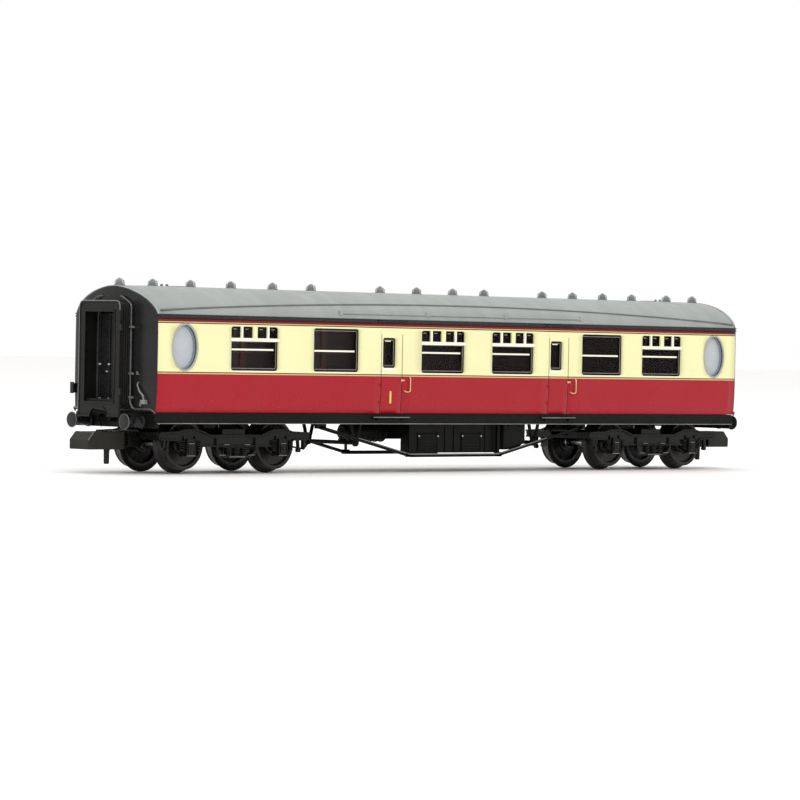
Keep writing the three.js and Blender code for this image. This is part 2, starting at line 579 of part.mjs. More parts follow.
function coupler() {
  const [low, high] = COUPLER_Z;
  const side = [[COUPLER_REAR, low], [COUPLER_NOSE, low], [COUPLER_NOSE, above(4.2)],
    [COUPLER_NOSE - 1.1, high], [COUPLER_REAR, high]];
  const [pivotX, pivotZ] = COUPLER_PIVOT;
  const block = sideways(side, [-COUPLER_HALF_WIDTH, COUPLER_HALF_WIDTH]);
  const dropPin = box([COUPLER_NOSE - 5.6, COUPLER_NOSE - 4.7], [-0.45, 0.45], [above(0.7), low + 0.1]);
  const cavity = box([COUPLER_REAR - 1, COUPLER_CAVITY_END], [-1.55, 1.55], [pivotZ - 1.05, pivotZ + 1.05]);
  const catchPocket = box([COUPLER_NOSE - 2.4, COUPLER_NOSE - 0.9], [-1.5, 1.5], [low - 1, above(4.4)]);
  const pinHole = rod(PIN_RADIUS + 0.03, [-3, 3], "y", [pivotX, 0, pivotZ], 12);
  return cut(block.add(dropPin), cavity, catchPocket, pinHole);
}

const couplerPin = () => rod(PIN_RADIUS, [-2.1, 2.1], "y", [COUPLER_PIVOT[0], 0, COUPLER_PIVOT[1]], 12);

const couplerSpring = () =>
  rod(0.55, [TONGUE_END + 0.15, COUPLER_CAVITY_END - GAP], "x", [0, 0, COUPLER_PIVOT[1]], 12);

// ------------------------------------------------ the coach

const coach = new THREE.Group();

function place(parent, name, solid, material) {
  const mesh = new THREE.Mesh(geometryOf(solid), material);
  mesh.name = name;
  parent.add(mesh);
}

place(coach, "body_shell", bodyShell(), MATERIALS.body);
place(coach, "roof", roof(), MATERIALS.roof);
place(coach, "chassis", chassis(), MATERIALS.black);
place(coach, "ballast_weight", ballast(), MATERIALS.steel);
place(coach, "interior", interior(), MATERIALS.interior);
place(coach, "dynamo", dynamo(), MATERIALS.black);

for (const [sideName, side] of [["near", -1], ["far", 1]]) {
  place(coach, `glazing_${sideName}`, glazing(side), MATERIALS.clear);
  place(coach, `truss_${sideName}`, truss(side), MATERIALS.black);
  place(coach, `battery_box_${sideName}`, batteryBox(side), MATERIALS.black);
  place(coach, `regulator_box_${sideName}`, regulatorBox(side), MATERIALS.black);
  DOOR_CENTRES.forEach((x, i) =>
    place(coach, `step_board_${sideName}_${i + 1}`, stepBoard(x, side), MATERIALS.black));
}

for (const [endName, end] of [["front", -1], ["rear", 1]]) {
  place(coach, `vacuum_cylinder_${endName}`, vacuumCylinder(end), MATERIALS.black);
  place(coach, `brake_rigging_${endName}`, brakeRigging(end), MATERIALS.black);
  place(coach, `oval_pane_${endName}_near`, ovalPane(end, -1), MATERIALS.frosted);
  place(coach, `oval_pane_${endName}_far`, ovalPane(end, 1), MATERIALS.frosted);

  // The end fittings and the bogie are drawn at the rear and turned half round for the front.
  const fittings = new THREE.Group();
  const bogie = new THREE.Group();
  fittings.rotation.z = bogie.rotation.z = end < 0 ? Math.PI : 0;
  bogie.position.x = end * BOGIE_CENTRE;
  coach.add(fittings, bogie);

  place(fittings, `gangway_bellows_${endName}`, bellows(), MATERIALS.black);
  place(fittings, `gangway_faceplate_${endName}`, faceplate(), MATERIALS.black);
  place(fittings, `gangway_door_${endName}`, gangwayDoor(), MATERIALS.black);
  place(bogie, `bogie_frame_${endName}`, bogieFrame(), MATERIALS.black);
  place(bogie, `pivot_screw_${endName}`, pivotScrew(), MATERIALS.steel);
  place(bogie, `coupler_${endName}`, coupler(), MATERIALS.black);
  place(bogie, `coupler_pin_${endName}`, couplerPin(), MATERIALS.steel);
  place(bogie, `coupler_spring_${endName}`, couplerSpring(), MATERIALS.steel);
  for (const [sideName, side] of [["near", -end], ["far", end]]) {
    place(fittings, `buffer_${endName}_${sideName}`, buffer(side * BUFFER_Y), MATERIALS.black);
    for (const [axleName, x] of [["outer", HALF_WHEELBASE], ["inner", -HALF_WHEELBASE]]) {
      place(bogie, `wheel_${endName}_${axleName}_${sideName}`, wheel(x, side), MATERIALS.blackened);
    }
  }
  for (const [axleName, x] of [["outer", HALF_WHEELBASE], ["inner", -HALF_WHEELBASE]]) {
    place(bogie, `axle_${endName}_${axleName}`, axle(x), MATERIALS.steel);
  }
}

export default coach;
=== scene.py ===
"""The looks of a 1:148 bow-ended corridor coach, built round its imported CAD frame.

Shapes are worked out in millimetres in the row frame and become metres when their mesh is made. X runs
along the coach with the front end at -X, the corridor side is at -Y, and z = 0 is the tip of the wheel
flanges."""

import math

import bmesh
import bpy
import numpy as np
from mathutils import Matrix, Vector


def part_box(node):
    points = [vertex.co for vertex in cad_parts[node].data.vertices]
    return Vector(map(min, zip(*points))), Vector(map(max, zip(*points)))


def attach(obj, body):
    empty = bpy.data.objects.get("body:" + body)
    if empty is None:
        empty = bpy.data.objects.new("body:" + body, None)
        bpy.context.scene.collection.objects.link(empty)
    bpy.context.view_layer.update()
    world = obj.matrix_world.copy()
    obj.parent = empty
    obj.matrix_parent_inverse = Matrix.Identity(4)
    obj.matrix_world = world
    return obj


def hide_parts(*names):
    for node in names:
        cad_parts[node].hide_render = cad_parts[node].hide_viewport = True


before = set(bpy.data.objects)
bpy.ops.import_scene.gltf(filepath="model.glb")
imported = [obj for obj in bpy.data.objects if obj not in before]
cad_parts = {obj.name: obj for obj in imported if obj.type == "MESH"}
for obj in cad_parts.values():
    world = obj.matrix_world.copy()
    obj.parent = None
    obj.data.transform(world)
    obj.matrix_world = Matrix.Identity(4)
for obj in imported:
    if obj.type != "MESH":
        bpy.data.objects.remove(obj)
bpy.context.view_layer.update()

MM = 0.001


def corners(node):
    """Lowest and highest corner of a CAD node, in millimetres."""
    return [np.array(corner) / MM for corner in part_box(node)]


def faces_across(low, high):
    """How far out the two faces of a box on one side of the coach lie, the inner one first."""
    return sorted((abs(low[1]), abs(high[1])))


def side_corners(kind, side):
    """The corners of the CAD node of a kind that lies on one side of the coach."""
    return corners(f"{kind}_near" if side < 0 else f"{kind}_far")


# ------------------------------------------------------------------------------------------------ camera

AZIMUTH, ELEVATION, ROLL = map(math.radians, (-43.66, 0.5, 1.107))
LEFT_TURN, DOWN_TURN = (math.tan(math.radians(angle)) for angle in (0.324, 0.252))
TARGET, DISTANCE = np.array([0, 0, 0.0136]), 0.634
LENS, SENSOR = 185.085, 36


def aim_camera():
    """A long lens from the front corridor corner, just over the rail, levelled to the coach with a slight
    roll and turned a little off its target."""
    level_reach = math.cos(ELEVATION)
    back = np.array([math.sin(AZIMUTH) * level_reach, -math.cos(AZIMUTH) * level_reach, math.sin(ELEVATION)])
    level = np.cross([0, 0, 1], back)
    level /= np.linalg.norm(level)
    upright = np.cross(back, level)
    right = level * math.cos(ROLL) + upright * math.sin(ROLL)
    up = upright * math.cos(ROLL) - level * math.sin(ROLL)
    forward = -back - right * LEFT_TURN - up * DOWN_TURN
    forward /= np.linalg.norm(forward)
    right = np.cross(forward, up)
    right /= np.linalg.norm(right)
    up = np.cross(right, forward)
    camera = bpy.data.objects.new("camera", bpy.data.cameras.new("camera"))
    camera.data.lens, camera.data.sensor_width = LENS, SENSOR
    camera.data.clip_start, camera.data.clip_end = 0.05, 10
    turned = np.eye(4)
    turned[:3, :3] = np.stack([right, up, -forward], 1)
    turned[:3, 3] = TARGET + back * DISTANCE
    camera.matrix_world = Matrix(turned.tolist())
    bpy.context.scene.collection.objects.link(camera)
    bpy.context.scene.camera = camera


# ------------------------------------------------------------------------------------------------ dimensions

RAIL_TOP = 0.6


def above(height):
    """A height over the rail top as a height over the flange tips."""
    return RAIL_TOP + height


def heights(low, high):
    """Two heights over the rail top as heights over the flange tips."""
    return above(low), above(high)


def around(middle, half):
    """The range that reaches half to either side of the middle."""
    return middle - half, middle + half


BODY_LOW, BODY_HIGH = corners("body_shell")
HALF_WIDTH = BODY_HIGH[1]
END_BOW = 0.9
BOW_HALF_WIDTH = HALF_WIDTH + 1
HALF_LENGTH = BODY_HIGH[0] - END_BOW
BODY_BOTTOM = BODY_LOW[2]
CANTRAIL = corners("roof")[0][2]
ROOF_TOP = BODY_HIGH[2] + 0.65
ROOF_SQUARENESS = 2.1
ROOF_END_SQUARENESS = 1.7
ROOF_END_DROP = 0.1
END_ROLL = 0.28
ROOF_SHEET = 0.6
WALL = 0.8
WAIST = above(13.8)

WINDOW_CENTRES = (-42.7, -26.6, -4.65, 10.3, 30.1, 43.8)
WINDOW_WIDTH = 9.27
WINDOW_Z = heights(14.45, 20.85)
TRANSOM = heights(18.7, 19.2)
PLAIN_WINDOWS_NEAR = (1, 4)
WINDOW_CORNER = 0.45
MIDDLE_BAR = 0.85
THIN_BAR = 0.4
PANE_FACE = HALF_WIDTH - 0.42
DOOR_CENTRES = (-15.4, 20.3)
DOOR_WINDOW_OFFSET = -0.45
DOOR_WINDOW_WIDTH = 2.85
DOOR_WINDOW_Z = heights(15.15, 19.65)
DOOR_HALF_WIDTH = 2.15
SHUT_LINE_TOP = above(20.2)
OVAL_CENTRE = (56.05, above(17.7))
OVAL_RADII = (2.3, 3.3)

SOLEBAR_OUTER = 8.9
SOLEBAR_HALF_LENGTH = 60.9
HEADSTOCK_FACE = 61.2
BUFFER_Y = 5.95
TRUSS_CORNER_X = 9.4
TRUSS_FOOT_X = 28.0
SOLEBAR_Z = (above(6.7), BODY_BOTTOM - 0.05)
BOGIE_CENTRE = abs(corners("pivot_screw_rear")[0][0] + corners("pivot_screw_rear")[1][0]) / 2
WHEELBASE = corners("axle_rear_outer")[1][0] + corners("axle_rear_outer")[0][0] - 2 * BOGIE_CENTRE
AXLE_Z = (corners("axle_rear_outer")[0][2] + corners("axle_rear_outer")[1][2]) / 2
SIDES = {"near": -1, "far": 1}
ENDS = {"front": -1, "rear": 1}


# ------------------------------------------------------------------------------------------------ shapes

def grid(points, wrap_rows=False, wrap_columns=False, flip=False):
    """A surface from points[row, column]: each cell joins four neighbours, and a wrapped side meets its
    start."""
    rows, columns = points.shape[:2]
    row, column = np.meshgrid(
        np.arange(rows - (not wrap_rows)), np.arange(columns - (not wrap_columns)), indexing="ij")
    next_row, next_column = (row + 1) % rows, (column + 1) % columns
    cells = np.stack([
        row * columns + column, row * columns + next_column,
        next_row * columns + next_column, next_row * columns + column,
    ], -1).reshape(-1, 4)
    return points.reshape(-1, 3), [cells[:, ::-1] if flip else cells]


def merged(*shapes):
    """Several shapes as one: their points one after another, with each face's numbers moved on to match."""
    points, faces, start = [], [], 0
    for shape_points, shape_faces in shapes:
        points.append(shape_points)
        faces += [face + start for face in shape_faces]
        start += len(shape_points)
    return np.concatenate(points), faces


def changed(shape, scale=(1, 1, 1), shift=(0, 0, 0)):
    """A shape scaled and then shifted along each axis."""
    return shape[0] * np.array(scale, float) + np.array(shift, float), shape[1]


def copies(shape, places):
    """The same shape at each of several places."""
    points, faces = shape
    places = np.asarray(places, float).reshape(-1, 1, 3)
    starts = np.arange(len(places))[:, None, None] * len(points)
    return (places + points).reshape(-1, 3), [(face + starts).reshape(-1, face.shape[1]) for face in faces]


AXIS_ORDER = {"x": (2, 0, 1), "y": (0, 2, 1), "z": (0, 1, 2)}


def prism(outline, axis, low, high):
    """A flat outline carried straight along an axis and capped: (y, z) for x, (x, z) for y and (x, y) for
    z."""
    outline = np.asarray(outline, float)
    count = len(outline)
    rings = np.stack([np.column_stack([outline, np.full(count, level)]) for level in (low, high)])
    points, faces = grid(rings[..., AXIS_ORDER[axis]], wrap_columns=True)
    return points, faces + [np.arange(count)[None], np.arange(count, 2 * count)[None]]


def block(xs, ys, zs):
    """A straight-sided block between its lowest and highest x, y and z."""
    (x0, x1), (z0, z1) = sorted(xs), sorted(zs)
    return prism([(x0, z0), (x1, z0), (x1, z1), (x0, z1)], "y", *sorted(ys))


def bar(start, end, width, ys):
    """A flat bar between two points of a side view, width deep, carried across from one y to the other."""
    (x0, z0), (x1, z1) = start, end
    along = np.array([x1 - x0, z1 - z0]) / math.hypot(x1 - x0, z1 - z0)
    across = np.array([-along[1], along[0]]) * width / 2
    start, end = np.array(start), np.array(end)
    return prism([start - across, end - across, end + across, start + across], "y", *sorted(ys))


def turn(profile, centre, axis="z", segments=32):
    """A profile of (radius, height) points turned about an axis: (radius cos a, radius sin a, height)."""
    radius, height = np.array(profile, float).T
    angle = np.linspace(0, 2 * np.pi, segments, endpoint=False)[:, None]
    local = np.stack([radius * np.cos(angle), radius * np.sin(angle), height + 0 * angle], -1)
    return grid(local[..., AXIS_ORDER[axis]] + np.array(centre, float), wrap_rows=True)


def tube(path, radius, across=(0, 0, 1), sides=10):
    """A round section carried along a path: path + radius (cos a * normal + sin a * binormal), the
    normals square to the path and to the direction across, with both ends drawn in to a point."""
    path = np.asarray(path, float)
    along = np.gradient(path, axis=0)
    along /= np.linalg.norm(along, axis=1, keepdims=True)
    normal = np.cross(along, across)
    normal /= np.linalg.norm(normal, axis=1, keepdims=True)
    binormal = np.cross(along, normal)
    angle = np.linspace(0, 2 * np.pi, sides, endpoint=False)[None, :, None]
    ring = path[:, None] + radius * (np.cos(angle) * normal[:, None] + np.sin(angle) * binormal[:, None])
    start, end = (np.repeat(path[None, i:i + 1], sides, 1) for i in (0, len(path) - 1))
    return grid(np.concatenate([start, ring, end]), wrap_columns=True)


def eased(points, radius, steps=5):
    """A polyline with each corner eased by a quadratic curve that starts and ends radius away from it."""
    points = np.asarray(points, float)
    share = np.linspace(0, 1, steps)[:, None]
    stretches = [points[:1]]
    for before, corner, after in zip(points[:-2], points[1:-1], points[2:]):
        start = corner + (before - corner) * radius / np.linalg.norm(before - corner)
        end = corner + (after - corner) * radius / np.linalg.norm(after - corner)
        stretches.append((1 - share) ** 2 * start + 2 * share * (1 - share) * corner + share ** 2 * end)
    return np.concatenate([*stretches, points[-1:]])


def coil(centre, radius, low, high, turns, wire):
    """A coil spring: a wire along (radius cos a, radius sin a) that rises evenly from low to high."""
    share = np.linspace(0, 1, int(turns * 14))
    angle = 2 * np.pi * turns * share
    path = np.stack([centre[0] + radius * np.cos(angle), centre[1] + radius * np.sin(angle),
                     low + (high - low) * share], -1)
    return tube(path, wire, sides=6)


def dome(radius, height, axis="y", side=1, segments=8):
    """A low round head on a short neck, such as a rivet's, pointing along an axis."""
    profile = np.array([(0, -0.05), (radius, -0.05), (radius * 0.8, height * 0.7), (0, height)])
    return turn(profile * (1, side), (0, 0, 0), axis, segments)


def even(start, end, step):
    """Evenly spaced values from start to end, about step apart."""
    return np.linspace(start, end, max(2, round(abs(end - start) / step) + 1))


class Loop:
    """A closed outline in a plane as points with the outward normals there."""

    def __init__(self, points, normals):
        self.points, self.normals = points, normals

    @classmethod
    def rounded(cls, us, vs, radius, per_corner=7):
        """A rectangle with quarter-circle corners: each corner's centre plus radius times its normal."""
        (u0, u1), (v0, v1) = us, vs
        angle = np.concatenate([np.linspace(q, q + 1, per_corner) for q in range(4)]) * np.pi / 2
        normals = np.stack([np.cos(angle), np.sin(angle)], -1)
        centre_u = np.repeat([u1 - radius, u0 + radius, u0 + radius, u1 - radius], per_corner)
        centre_v = np.repeat([v1 - radius, v1 - radius, v0 + radius, v0 + radius], per_corner)
        return cls(np.stack([centre_u, centre_v], -1) + radius * normals, normals)

    @classmethod
    def oval(cls, centre, radii, count=64):
        """An ellipse: centre plus (a cos t, b sin t), with normals along (cos t / a, sin t / b)."""
        angle = np.linspace(0, 2 * np.pi, count, endpoint=False)
        circle = np.stack([np.cos(angle), np.sin(angle)], -1)
        normals = circle / radii
        normals /= np.linalg.norm(normals, axis=1, keepdims=True)
        return cls(np.array(centre) + circle * radii, normals)

    def hoop(self, profile, axis, closed=True):
        """A profile of (outward, depth) points carried round the loop, with depth along the axis."""
        outward, depth = np.array(profile, float).T
        flat = self.points[:, None] + self.normals[:, None] * outward[None, :, None]
        level = np.broadcast_to(depth, flat.shape[:2])[..., None]
        points = np.concatenate([flat, level], -1)[..., AXIS_ORDER[axis]]
        return grid(points, wrap_rows=True, wrap_columns=closed)

    def disc(self, inset, depth, crown, axis, rings=6):
        """The loop filled in: rings shrink to its centre, and the depth rises by crown as 1 - s squared."""
        edge = self.points - self.normals * inset
        centre = edge.mean(0)
        share = np.linspace(1, 0, rings)[None, :, None]
        flat = centre + (edge[:, None] - centre) * share
        level = depth + crown * (1 - share ** 2) + 0 * flat[..., :1]
        return grid(np.concatenate([flat, level], -1)[..., AXIS_ORDER[axis]], wrap_rows=True)


# ------------------------------------------------------------------------------------------------ finishes

def rgb(red, green, blue):
    """A screen colour from 0 to 255 as the linear colour that a shader takes."""
    share = np.array([red, green, blue]) / 255
    linear = np.where(share <= 0.04045, share / 12.92, ((share + 0.055) / 1.055) ** 2.4)
    return (*linear.tolist(), 1.0)


class Value:
    """What a node gives out. Python's arithmetic on it adds Math nodes to its finish."""

    def __init__(self, finish, socket):
        self.finish, self.socket = finish, socket

    def math(self, operation, *terms):
        """What a Math node makes of the terms."""
        return self.finish.node("ShaderNodeMath", dict(enumerate(terms)), operation=operation)

    def __add__(self, other):
        return self.math("ADD", self, other)

    def __sub__(self, other):
        return self.math("SUBTRACT", self, other)

    def __rsub__(self, other):
        return self.math("SUBTRACT", other, self)

    def __mul__(self, other):
        return self.math("MULTIPLY", self, other)

    def __gt__(self, other):
        return self.math("GREATER_THAN", self, other)

    def __lt__(self, other):
        return self.math("LESS_THAN", self, other)

    def __abs__(self):
        return self.math("ABSOLUTE", self)

    __radd__, __rmul__ = __add__, __mul__


class Finish:
    """A material under construction. Lengths in its patterns are millimetres on the piece's own
    coordinates."""

    def __init__(self, name):
        self.material = bpy.data.materials.new(name)
        self.material.use_nodes = True
        self.tree = self.material.node_tree
        self.tree.nodes.clear()
        place = self.node("ShaderNodeTexCoord", output="Object")
        self.place = self.node("ShaderNodeMapping", {"Vector": place, "Scale": (1 / MM,) * 3})
        split = self.node("ShaderNodeSeparateXYZ", {0: self.place})
        self.x, self.y, self.z = (Value(self, output) for output in split.socket.node.outputs)

    def node(self, kind, inputs=None, output=0, **settings):
        """Adds a node: first its settings, with a ramp's stops among them, then its sockets' values or
        links."""
        made = self.tree.nodes.new(kind)
        for position, colour in settings.pop("stops", ()):
            made.color_ramp.elements.new(position).color = colour
        for name, value in settings.items():
            setattr(made, name, value)
        for key, value in (inputs or {}).items():
            if isinstance(value, Value):
                self.tree.links.new(value.socket, made.inputs[key])
            else:
                made.inputs[key].default_value = value
        return Value(self, made.outputs[output])

    def mix(self, factor, first, second):
        """The first colour where factor is 0 and the second where it is 1."""
        return self.node("ShaderNodeMix", {0: factor, 6: first, 7: second}, output=2, data_type="RGBA")

    def noise(self, size, detail=2.0, roughness=0.5, stretch=(1, 1, 1)):
        """Smooth random values from 0 to 1 whose patches are about size millimetres across."""
        place = self.place
        if stretch != (1, 1, 1):
            place = self.node("ShaderNodeMapping", {"Vector": place, "Scale": stretch})
        return self.node("ShaderNodeTexNoise", {
            "Vector": place, "Scale": 1 / size, "Detail": detail, "Roughness": roughness})

    def between(self, value, low, high, start=0.0, end=1.0):
        """Start below low, end above high, and even in between."""
        return self.node("ShaderNodeMapRange", {0: value, 1: low, 2: high, 3: start, 4: end})

    def surface(self, colour, roughness, bump=None, strength=0.2, reach=0.05, **fixed):
        """Joins a Principled shader to the output, with a Bump node if a height is given."""
        inputs = {"Base Color": colour, "Roughness": roughness, **fixed}
        if bump is not None:
            inputs["Normal"] = self.node("ShaderNodeBump", {
                "Height": bump, "Strength": strength, "Distance": reach * MM})
        shader = self.node("ShaderNodeBsdfPrincipled", inputs)
        self.node_out(shader)
        return self.material

    def node_out(self, shader):
        """Joins a shader to the material's output."""
        out = self.tree.nodes.new("ShaderNodeOutputMaterial")
        self.tree.links.new(shader.socket, out.inputs["Surface"])


CRIMSON = rgb(160, 18, 34)
CREAM = rgb(235, 232, 179)
MAROON = rgb(112, 22, 30)
LINING_GOLD = rgb(208, 180, 128)
LINING_BLACK = rgb(58, 50, 30)
GUTTER_BLACK = rgb(26, 30, 34)


def coach_paint():
    """Crimson below the waist and cream over it, lined out, with the shell's dark plastic inside."""
    finish = Finish("coach_paint")
    bands = [
        (above(13.88), LINING_GOLD), (above(14.05), LINING_BLACK), (above(14.19), CREAM),
        (above(21.1), LINING_BLACK), (above(21.24), LINING_GOLD), (above(21.37), MAROON),
    ]
    colour = CRIMSON
    for height, band in bands:
        colour = finish.mix(finish.z > height, colour, band)
    # Faint unevenness of the sprayed coats, and dust that dulls the gloss.
    cloud = finish.noise(7.0, 3)
    colour = finish.mix(finish.between(cloud, 0.35, 0.75, 0.0, 0.05), colour, rgb(120, 90, 60))
    speck = finish.noise(0.22, 1)
    colour = finish.mix(finish.between(speck, 0.66, 0.8, 0.0, 0.05), colour, rgb(255, 250, 235))
    gap = finish.z < SHUT_LINE_TOP
    shut = None
    for centre in DOOR_CENTRES:
        for edge in (-DOOR_HALF_WIDTH, DOOR_HALF_WIDTH):
            line = abs(finish.x - (centre + edge)) < 0.065
            shut = line if shut is None else shut + line
    colour = finish.mix(shut * gap * 0.75, colour, rgb(46, 12, 14))
    inside = abs(finish.y) < PANE_FACE
    colour = finish.mix(inside, colour, rgb(38, 30, 26))
    roughness = finish.between(finish.noise(2.5, 2), 0.3, 0.7, 0.3, 0.42)
    peel = finish.noise(0.5, 2) + 0.35 * finish.noise(0.12, 1)
    return finish.surface(colour, roughness, peel, strength=0.12, reach=0.03, **{"Specular IOR Level": 0.22})


def matt_paint(name, colour, darker, roughness=(0.5, 0.65), grain=0.3, strength=0.25, gloss=0.3):
    """Plain paint or moulded plastic: one colour that wanders to a second, with a fine grain."""
    finish = Finish(name)
    wander = finish.between(finish.noise(3.0, 4), 0.3, 0.7)
    shade = finish.mix(wander, colour, darker)
    dust = finish.between(finish.noise(grain, 2), 0.55, 0.8, 0.0, 0.05)
    shade = finish.mix(dust, shade, rgb(120, 112, 100))
    rough = finish.between(finish.noise(1.2, 2), 0.3, 0.7, *roughness)
    height = finish.noise(grain, 3) + 0.5 * finish.noise(grain * 4, 1)
    return finish.surface(shade, rough, height, strength=strength, reach=0.04,
                          **{"Specular IOR Level": gloss})


def roof_paint():
    """Mid grey roof paint, faintly streaked down the slopes, over a nearly black gutter."""
    finish = Finish("roof_paint")
    colour = finish.mix(finish.between(finish.noise(6.0, 4, stretch=(2, 0.4, 0.4)), 0.3, 0.7),
                        rgb(139, 144, 141), rgb(150, 155, 152))
    speck = finish.between(finish.noise(0.25, 2), 0.6, 0.8, 0.0, 0.12)
    colour = finish.mix(speck, colour, rgb(130, 131, 127))
    colour = finish.mix(finish.z < above(22.32), colour, GUTTER_BLACK)
    roughness = finish.between(finish.noise(1.5, 2), 0.3, 0.7, 0.42, 0.56)
    return finish.surface(colour, roughness, finish.noise(0.3, 3), strength=0.15, reach=0.03)


def bare_metal(name, colour, darker, roughness=(0.2, 0.38), grain=(1, 1, 1), **fixed):
    """Plated or polished metal with fine scratches and a slightly uneven colour."""
    finish = Finish(name)
    shade = finish.mix(finish.between(finish.noise(1.5, 3), 0.35, 0.7), colour, darker)
    scratches = finish.noise(0.18, 3, stretch=grain)
    rough = finish.between(scratches, 0.3, 0.7, *roughness)
    return finish.surface(shade, rough, scratches, strength=0.08, reach=0.02, **{"Metallic": 1.0, **fixed})


def clear_glass():
    """Thin clear window moulding: mostly see-through, with a gloss that grows at a slant."""
    finish = Finish("clear_glazing")
    smear = finish.between(finish.noise(2.5, 3), 0.35, 0.8, 0.0, 0.05)
    gloss = finish.node("ShaderNodeBsdfPrincipled", {
        "Base Color": rgb(44, 34, 32), "Roughness": 0.06, "IOR": 1.5, "Specular IOR Level": 0.6})
    clear = finish.node("ShaderNodeBsdfTransparent", {"Color": (0.9, 0.91, 0.92, 1)})
    slant = finish.node("ShaderNodeFresnel", {"IOR": 1.45})
    finish.node_out(finish.node("ShaderNodeMixShader", {0: slant + smear + 0.04, 1: clear, 2: gloss}))
    return finish.material


def frosted_glass():
    """The lavatory panes: pale grey-blue plastic, fine pebbling under a soft sheen."""
    finish = Finish("frosted_glazing")
    colour = finish.mix(finish.between(finish.noise(1.6, 3), 0.3, 0.7), rgb(171, 178, 182),
                        rgb(182, 188, 191))
    pebbles = finish.node("ShaderNodeTexVoronoi", {"Vector": finish.place, "Scale": 4.0})
    rough = finish.between(pebbles, 0.0, 0.6, 0.28, 0.45)
    return finish.surface(colour, rough, pebbles, strength=0.12, reach=0.05)


def seat_cloth():
    """Woven maroon moquette with a small repeating fleck."""
    finish = Finish("seat_cloth")
    weave = finish.node("ShaderNodeTexWave",
                        {"Vector": finish.place, "Scale": 1.4, "Distortion": 1.5, "Detail": 2})
    colour = finish.mix(finish.between(weave, 0.3, 0.7), rgb(70, 26, 24), rgb(104, 52, 40))
    return finish.surface(colour, 0.85, finish.noise(0.2, 2), strength=0.4, reach=0.06)


def veneer(name, size, colour, darker):
    """Veneer of the partitions or the redder door posts, its grain standing upright."""
    finish = Finish(name)
    grain = finish.noise(size, 4, stretch=(3, 3, 0.3))
    shade = finish.mix(finish.between(grain, 0.3, 0.7), colour, darker)
    rough = finish.between(grain, 0.3, 0.7, 0.4, 0.55)
    return finish.surface(shade, rough, grain, strength=0.15, reach=0.03)


def pale_floor():
    """A plain pale studio floor with a barely visible tooth."""
    finish = Finish("studio_floor")
    tone = finish.between(finish.noise(60.0, 2), 0.3, 0.7)
    colour = finish.mix(tone, rgb(248, 247, 245), rgb(252, 251, 250))
    return finish.surface(colour, 0.6, finish.noise(0.8, 2), strength=0.05, reach=0.05)


PAINT = coach_paint()
ROOF_PAINT = roof_paint()
END_BLACK = matt_paint("end_black", rgb(35, 34, 34), rgb(28, 28, 28), (0.2, 0.3), 0.35, 0.08, 0.22)
PLATE_BLACK = matt_paint("faceplate_black", rgb(19, 17, 15), rgb(14, 13, 12), (0.3, 0.4), 0.4, 0.06, 0.2)
# Black pipe paint that wanders up to a pale grey: painted broken highlights along the end rails.
PIPE_BLACK_AND_HIGHLIGHT = matt_paint("pipe_black_highlighted", rgb(104, 102, 99), rgb(30, 30, 30), (0.12, 0.25), 0.4, 0.05, 0.5)
# Pale grey for the thin strips, beads and small fittings that carry painted highlights along lit edges.
PAINTED_HIGHLIGHT_GREY = matt_paint("edge_highlight_grey", rgb(128, 126, 122), rgb(96, 94, 92), (0.12, 0.2), 0.4, 0.05, 0.6)
FRAME_BLACK = matt_paint("underframe_black", rgb(18, 17, 16), rgb(13, 13, 12), (0.32, 0.48), 0.25, 0.2, 0.1)
BOGIE_BLACK = matt_paint("bogie_black", rgb(21, 21, 19), rgb(14, 14, 13), (0.18, 0.3), 0.22, 0.2, 0.18)
COUPLER_GREY = matt_paint("coupler_grey", rgb(40, 39, 35), rgb(32, 32, 29), (0.5, 0.62), 0.4, 0.25, 0.2)
BELLOWS_BLACK = matt_paint("bellows_black", rgb(20, 20, 19), rgb(14, 14, 14), (0.5, 0.65), 0.2, 0.3, 0.2)
# Pale grey for the strips painted as reflections on the pane edges, and for the top-light catches.
PANE_REFLECTION_AND_CATCH_GREY = matt_paint("pane_reflection_catch_grey", rgb(130, 127, 126), rgb(108, 106, 106), (0.15, 0.22), 0.5,
                          0.04, 0.5)
# The oval rims are one clear moulding. Its lip, wall and ledge are drawn as a painted highlight, painted
# shade and a painted grey-blue reflection.
RIM_HIGHLIGHT_GREY = matt_paint("oval_lip_highlight_grey", rgb(172, 173, 168), rgb(150, 152, 150), (0.18, 0.26), 0.5, 0.04, 0.5)
RIM_SHADE_GREY = matt_paint("oval_wall_shade_grey", rgb(74, 80, 84), rgb(60, 65, 70), (0.2, 0.3), 0.5, 0.04, 0.4)
RIM_REFLECTION_GREY = matt_paint("oval_ledge_reflection_grey", rgb(140, 150, 158), rgb(124, 133, 142), (0.2, 0.3), 0.5, 0.04, 0.4)
# Near-white: a painted highlight on the top-light bars, on the sills and on the drop-light heads, and the
# real white of the guard rails.
WHITE_TRIM_AND_HIGHLIGHT = matt_paint("near_white_trim_highlight", rgb(248, 246, 226), rgb(240, 237, 214), (0.3, 0.4), 0.5, 0.04, 0.4)
LINE_YELLOW = matt_paint("class_yellow", rgb(238, 206, 110), rgb(226, 190, 92), (0.35, 0.45), 0.5, 0.05)
GUTTER = matt_paint("gutter_black", rgb(24, 28, 31), rgb(18, 21, 24), (0.2, 0.3), 0.5, 0.08)
VENT_GREY = matt_paint("ventilator_grey", rgb(124, 127, 126), rgb(106, 109, 108), (0.4, 0.5), 0.25, 0.15)
# Darker than the roof paint: painted shade along the rain strips.
RAIN_STRIP_SHADE_GREY = matt_paint("rain_strip_painted_shade", rgb(104, 108, 106), rgb(88, 92, 90), (0.4, 0.5), 0.25, 0.1)
